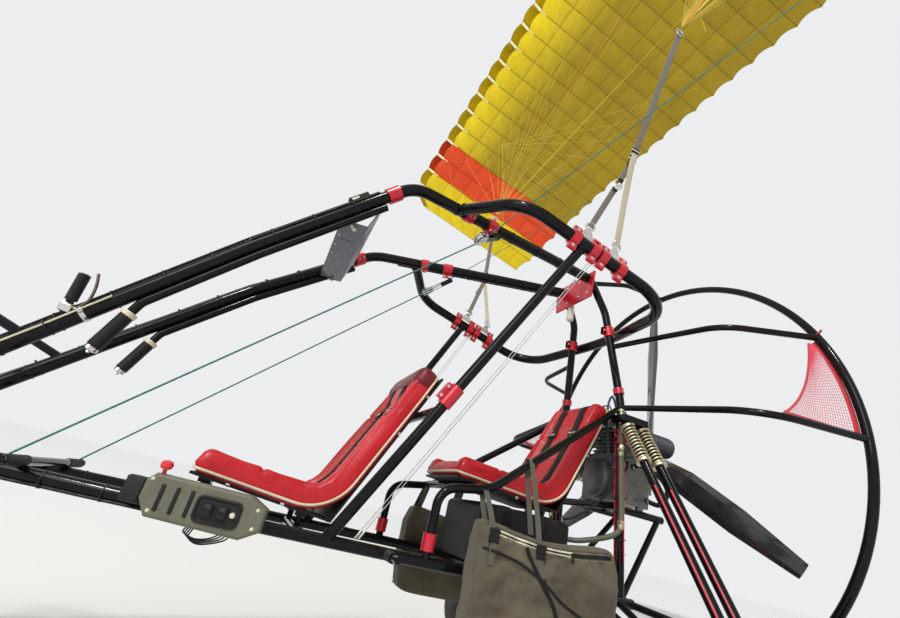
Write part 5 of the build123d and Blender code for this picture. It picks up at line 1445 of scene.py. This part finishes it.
for shift in (0.0, 0.006, 0.012, 0.018):
    start, sag = panel_spot(-0.02 + shift, -0.064, -0.02), shift * 0.6
    moves = ((0, 0, 0), (-0.004, -0.004, -0.014 - sag), (0.03, 0, -0.026 - sag), (0.07 + shift, 0.01, -0.018))
    path = [start + Vector(move) for move in (*moves, (0.1, 0.02, 0.004))]
    leads.tube(spline(path, 8), 0.0022, 7)
bezel.piece("console_bezel", BLACK_PLASTIC)
rockers.piece("console_rockers", BLACK_VINYL)
lamps.piece("console_lamp", CREAM_TRIM)
knobs.piece("console_knob", RED_KNOB)
leads.piece("console_leads", BLACK_PLASTIC)

# Engine: plugs, leads, carburettor bowls, hoses, starter and fasteners
CYLINDERS = (1.035, 1.135)
HEAD_Z, CARB_Z, STARTER_Z = 1.275, 1.187, 1.01
EXHAUST_Y, EXHAUST_Z, FILTER_Y = 0.232, 1.062, -0.218
CYLINDER_HEAD = [(0.05, 0), (0.052, 0.008), (0.046, 0.02), (0.03, 0.026), (0.02, 0.028)]
PLUG_CAP = [(0.0095, 0), (0.0105, 0.006), (0.0105, 0.026), (0.007, 0.034)]
BOWL_LOW = [(0.03, 0.02), (0.033, 0.03), (0.031, 0.062), (0.022, 0.07), (0.008, 0.078)]
BOWL_TOP = [(0.026, 0.024), (0.026, 0.05), (0.016, 0.058), (0.006, 0.075)]
STARTER = [(0.085, 0), (0.088, 0.006), (0.086, 0.03), (0.07, 0.042), (0.03, 0.046)]
plugs, plug_caps, castings, hoses_blue, hoses_black, clips = shapes(6)
for station in CYLINDERS:
    head = at(station, 0, HEAD_Z)
    castings.lathe(head, UP, CYLINDER_HEAD, 32)
    for spot in circle(head + UP * 0.014, AFT, RIGHT, 0.04, 6):
        castings.bolt(spot, UP, 0.005)
    plugs.lathe(head + UP * 0.026, UP, [(0.009, 0), (0.009, 0.01)], 6)
    plugs.lathe(head + UP * 0.036, UP, [(0.006, 0), (0.0045, 0.02)], 14)
    plug_caps.lathe(head + UP * 0.048, UP, PLUG_CAP, 18)
    lead = [head + Vector(move) for move in ((0, 0, 0.078), (-0.01, 0.02, 0.105), (-0.04, 0.07, 0.07))]
    plug_caps.tube(spline([*lead, at(1.0, 0.1, 1.2), at(0.985, 0.1, 1.1)], 8), 0.0036, 8)
    bowl = at(station, -0.12, CARB_Z)
    castings.lathe(bowl, DOWN, BOWL_LOW, 28)
    castings.lathe(bowl, UP, BOWL_TOP, 24)
    for y in (-0.098, -0.142, -0.166):
        clips.lathe(at(station, y, CARB_Z), -RIGHT, band(0.032, 0.033, 0.009, 0.001), 32)
        clips.block(at(station, y - 0.004, CARB_Z + 0.035), AFT, RIGHT, (0.018, 0.01, 0.008), 0.002)
for way in (-1, 1):
    for station in (1.0, 1.06, 1.11, 1.17):
        for z in (0.94, 1.1):
            castings.bolt(at(station, way * 0.115, z), RIGHT * way, 0.0055)
for turn in turns(9):
    castings.bolt(at(1.24, 0.062 * cos(turn), 1.125 + 0.105 * sin(turn)), AFT, 0.0055)
castings.lathe(at(0.985, 0, STARTER_Z), -AFT, STARTER, 40)
for turn in turns(16):
    spoke = Vector((0, cos(turn), sin(turn)))
    castings.block(at(0.9425, 0, STARTER_Z) + spoke * 0.05, spoke, AFT, (0.03, 0.003, 0.006), 0.001)
castings.piece("engine_castings", ENGINE_CAST)
plugs.piece("spark_plugs", BRIGHT_STEEL)
plug_caps.piece("plug_leads", BLACK_VINYL)
hose_table = (  # store, radius, places
    (hoses_blue, 0.0055, ((1.0, -0.06, 1.24), (0.985, -0.09, 1.33), (0.93, -0.12, 1.38), (0.9, -0.13, 1.3),
                          (0.93, -0.12, 1.12), (0.985, -0.1, 1.05))),
    (hoses_blue, 0.0055, ((1.035, 0.06, 1.24), (1.02, 0.11, 1.31), (0.95, 0.13, 1.33), (0.925, 0.12, 1.2),
                          (0.985, 0.1, 1.0))),
    (hoses_black, 0.011, ((1.17, -0.112, 0.95), (1.2, -0.17, 0.94), (1.2, -0.21, 1.0), (1.15, -0.2, 1.06),
                          (1.1, -0.15, 1.09), (1.08, -0.11, 1.08))),
    (hoses_black, 0.005, ((1.035, -0.12, 1.109), (1.01, -0.15, 1.05), (0.9, -0.14, 0.9), (0.78, -0.12, 0.8),
                          (0.7, -0.12, 0.772))),
)
for store, radius, places in hose_table:
    path = [at(*place) for place in places]
    store.tube(spline(path, 9), radius, 10)
    for end, other in ((path[0], path[1]), (path[-1], path[-2])):
        heading = (other - end).normalized()
        clips.lathe(end + heading * 0.008, heading, band(radius + 0.001, radius + 0.0022, 0.009, 0.001), 20)
hoses_blue.piece("engine_hoses", BLUE_HOSE)
hoses_black.piece("engine_black_hoses", BLACK_VINYL)
clips.piece("hose_clips", BRIGHT_STEEL)

# Exhaust bands, filter ribs
bands, filter_ribs = shapes(2)
for station in (1.03, 1.11, 1.2):
    bands.lathe(at(station, EXHAUST_Y, EXHAUST_Z), AFT, band(0.0565, 0.0585, 0.014), 44)
for station in spaced(1.02, 1.167, 14):
    filter_ribs.lathe(at(station, FILTER_Y, CARB_Z), AFT, band(0.0458, 0.0478, 0.0052, 0.0018), 40)
bands.piece("exhaust_bands", BRIGHT_STEEL)
filter_ribs.piece("filter_ribs", BLUE_COVER)

# Fuel tank: cap and straps
tank_mid = (tank_low + tank_high) / 2
cap, tank_straps = shapes(2)
cap_at = Vector((tank_high.x - 0.07, 0.1, tank_high.z))
cap.lathe(cap_at - UP * 0.001, UP, [(0.034, 0), (0.034, 0.012), (0.03, 0.016), (0.01, 0.017)], 30)
for turn in turns(12):
    spoke = Vector((cos(turn), sin(turn), 0))
    cap.block(cap_at + UP * 0.006 + spoke * 0.034, UP, spoke, (0.014, 0.006, 0.006), 0.0015)
wide, tall = (tank_high[axis] - tank_low[axis] - 0.05 for axis in (1, 2))
for station in (0.42, 0.61):
    x = station + ORIGIN_X
    loop = [Vector((x, tank_mid.y + a, tank_mid.z + b)) for a, b in rounded(wide, tall, 0.027, 5)]
    tank_straps.sweep(loop, flat(0.032, 0.0024), side=AFT, closed=True)
cap.piece("tank_cap", RED_KNOB)
tank_straps.piece("tank_straps", BLACK_WEBBING)


# Wheels: tread, side ribs, bolts and valves; the propeller's hub bolts
WHEEL_Y, NOSE_AXLE = 0.96, (-1.69, 0, 0.2)
BOLT_RING, HUB_RING = 0.03, 0.045


def wheel_parts(name, body, centre, radius, width, face_out):
    """Lugs in four lanes, two ribs a side wall, bolts and a valve."""
    tread, steel, rubber = shapes(3)
    count = 44 if radius > 0.22 else 34
    lug = (2 * pi * radius / count * 0.72, width * 0.13, 0.008)
    for lane, share in enumerate((-0.52, -0.18, 0.18, 0.52)):
        drop = 0.0 if abs(share) < 0.3 else 0.03 * radius
        way = 0.35 if lane % 2 else -0.35
        for turn in turns(count, 0.5 * (lane % 2)):
            spoke = Vector((sin(turn), 0, cos(turn)))
            slant = Vector((cos(turn), way, -sin(turn))).normalized()
            spot = centre + spoke * (radius - drop - 0.0046) + RIGHT * (share * width * 0.625)
            tread.block(spot, slant, spoke.cross(slant), lug, 0.0015)
    for way in (-1, 1):
        for share in (0.86, 0.76):
            middle = centre + RIGHT * (way * width / 2 * 0.985)
            rubber.tube(circle(middle, UP, AFT, radius * share, 60), 0.0022, 5, closed=True)
        for spot in circle(centre + RIGHT * (way * face_out), UP, AFT, BOLT_RING, 5):
            steel.bolt(spot, RIGHT * way, 0.0062)
    valve = centre + Vector((BOLT_RING * 1.6, 0.014, 0))
    steel.lathe(valve, (-0.6, 0.8, 0), [(0.003, 0), (0.003, 0.025), (0.0042, 0.026), (0.0042, 0.034)], 10)
    tread.piece(f"{name}_tread", RUBBER, body)
    rubber.piece(f"{name}_sidewall", RUBBER, body)
    steel.piece(f"{name}_bolts", ZINC, body)


for name, side in SIDES:
    wheel_parts(f"wheel_{name}", f"wheel_{name}", at(AXLE_X, side * WHEEL_Y, AXLE_Z), AXLE_Z, 0.2, 0.058)
wheel_parts("nose_wheel", "nose_wheel", at(*NOSE_AXLE), NOSE_AXLE[2], 0.11, 0.045)

hub = Shape()
for turn in turns(6, 0.5):
    for end, way in ((1.318, 1), (1.262, -1)):
        hub.bolt(at(end, HUB_RING * cos(turn), RING_Z + HUB_RING * sin(turn)), AFT * way, 0.0062)
hub.piece("hub_bolts", ZINC, "propeller")

# Footrests: rubber rings on the foot bar and the pegs
FOOT_ROWS = (  # place of the first ring, spacing, count, ring's profile
    ((FOOT_BAR_X, 0.175, 0.5615), 0.0095, 16, band(0.0126, 0.0152, 0.008)),
    ((-0.06, 0.322, 0.53), 0.0088, 7, band(0.014, 0.0165, 0.007)),
)
rubbers = Shape()
for _, side in SIDES:
    for (station, y, z), spacing, count, ring in FOOT_ROWS:
        for k in range(count):
            rubbers.lathe(at(station, side * (y + spacing * k), z), RIGHT * side, ring, 18)
rubbers.piece("foot_rubbers", BLACK_VINYL)

# Weld beads at the frame's joints
welds = Shape()


def bead(centre, heading, radius):
    """A rippled weld round a tube's end."""
    heading = Vector(heading).normalized()
    across = heading.orthogonal().normalized()
    path = circle(centre, across, heading.cross(across), radius + 0.0012, 48)
    welds.tube(path, 0.0032, 7, closed=True, scales=[1 + 0.22 * sin(step * pi / 1.5) for step in range(48)])


for _, side in SIDES:
    for line, station in ((RAIL_FORE, -1.18), (RAIL_FORE, -0.66), (RAIL_AFT, -0.34)):
        bead(on(line, side, station) - RIGHT * (side * (FRAME_R + 0.001)), RIGHT, RAIL_R)
    strut = run_of(STRUT, side)
    bead(corner(STRUT_FOOT, side) + strut * 0.026, strut, FRAME_R)
    bead(corner(STRUT_TOP, side) - strut * 0.03, strut, FRAME_R)
    joint = on(LEVEL, side, -0.108)
    hoop_in = (corner(HOOP_FORE, side) - joint).normalized()
    bead(joint + hoop_in * 0.031, hoop_in, MAIN_R)
welds.piece("weld_beads", BLACK_GLOSS)

# Folded panel: rivets along its edges and a bare raised plate on each face
def on_middle(spot):
    """A spot moved onto the vehicle's middle plane."""
    return Vector((spot.x, 0, spot.z))


rivets, plate = shapes(2)
PANEL_ALONG = on_middle(run_of(CLIMB, 1)).normalized()
PANEL_DOWN = Vector((PANEL_ALONG.z, 0, -PANEL_ALONG.x))
fore_edge = on_middle(on(CLIMB, 1, -0.575)) + PANEL_DOWN * 0.023
fold = fore_edge + PANEL_ALONG * 0.085 + PANEL_DOWN * 0.062
aft_edge = fore_edge + PANEL_ALONG * 0.19
for start, end in ((fore_edge, fold), (aft_edge, fold)):
    run = (end - start).normalized()
    normal = run.cross(RIGHT)
    if normal.dot(PANEL_DOWN) < 0:
        normal = -normal
    for y in (-0.27, -0.18, -0.09, 0, 0.09, 0.18, 0.27):
        spot = start + run * 0.014 + normal * 0.002 + RIGHT * y
        rivets.lathe(spot, normal, [(0.0042, 0), (0.0034, 0.0014), (0.0014, 0.0022)], 12)
    plate.block((start + end) / 2 + normal * 0.002, RIGHT, run, (0.3, 0.055, 0.003), 0.001)
rivets.piece("panel_rivets", BRIGHT_STEEL)
plate.piece("panel_plate", GREY_PANEL)


# Floor, lights and camera
def make_stage():
    floor_mesh = bpy.data.meshes.new("floor")
    places = [(a, b, 0) for a, b in flat(120, 120)]
    floor_mesh.from_pydata(places, [], [(0, 1, 2, 3)])
    floor = put("floor", floor_mesh)
    material, _, shader = new_material("pale_floor")
    shader.inputs["Base Color"].default_value = (0.8, 0.8, 0.79, 1)
    shader.inputs["Roughness"].default_value = 0.9
    floor_mesh.materials.append(material)


SKY_LIGHT, SKY_SEEN = 0.62, 0.86


def make_world():
    world = bpy.data.worlds.new("studio")
    bpy.context.scene.world = world
    world.use_nodes = True
    nodes = Nodes(world.node_tree)
    background = world.node_tree.nodes["Background"]
    seen = nodes.add("LightPath")
    any_seen = nodes.math("MAXIMUM", seen.outputs["Is Camera Ray"], seen.outputs["Is Glossy Ray"])
    any_seen = nodes.math("MAXIMUM", any_seen, seen.outputs["Is Transmission Ray"])
    nodes.link(nodes.spread(any_seen, SKY_LIGHT, SKY_SEEN, 0, 1), background.inputs["Strength"])
    background.inputs["Color"].default_value = (0.97, 0.985, 1.0, 1)


def area_light(name, place, target, size, power):
    lamp = bpy.data.lights.new(name, "AREA")
    lamp.size = size
    lamp.energy = power
    obj = put(name, lamp)
    obj.location = place
    obj.rotation_euler = (Vector(target) - Vector(place)).to_track_quat("-Z", "Y").to_euler()


def make_lights():
    sun = bpy.data.lights.new("key", "SUN")
    sun.energy = 1.5
    sun.angle = radians(6)
    put("key", sun).rotation_euler = Vector((0.5, 0.62, -1.0)).to_track_quat("-Z", "Y").to_euler()
    area_light("side_box", (-9, -8, 7), (-1, 0, 1.4), 6, 620)


CAMERA_AT = at(-0.5589, -1.8985, 0.6663)
CAMERA_HEADING = Vector((0.2791, 0.8684, 0.4098))
CAMERA_ROLL = radians(13.65)
CAMERA_LENS = 18.4


def make_camera():
    data = bpy.data.cameras.new("camera")
    data.lens = CAMERA_LENS
    data.sensor_width = 36
    data.clip_start = 0.05
    data.clip_end = 200
    camera = put("camera", data)
    level = CAMERA_HEADING.to_track_quat("-Z", "Y").to_matrix()
    turned = Matrix.Rotation(-CAMERA_ROLL, 3, CAMERA_HEADING.normalized()) @ level
    camera.location = CAMERA_AT
    camera.rotation_euler = turned.to_euler()
    bpy.context.scene.camera = camera


make_stage()
make_world()
make_lights()
make_camera()
bpy.context.scene.view_settings.view_transform = "Standard"
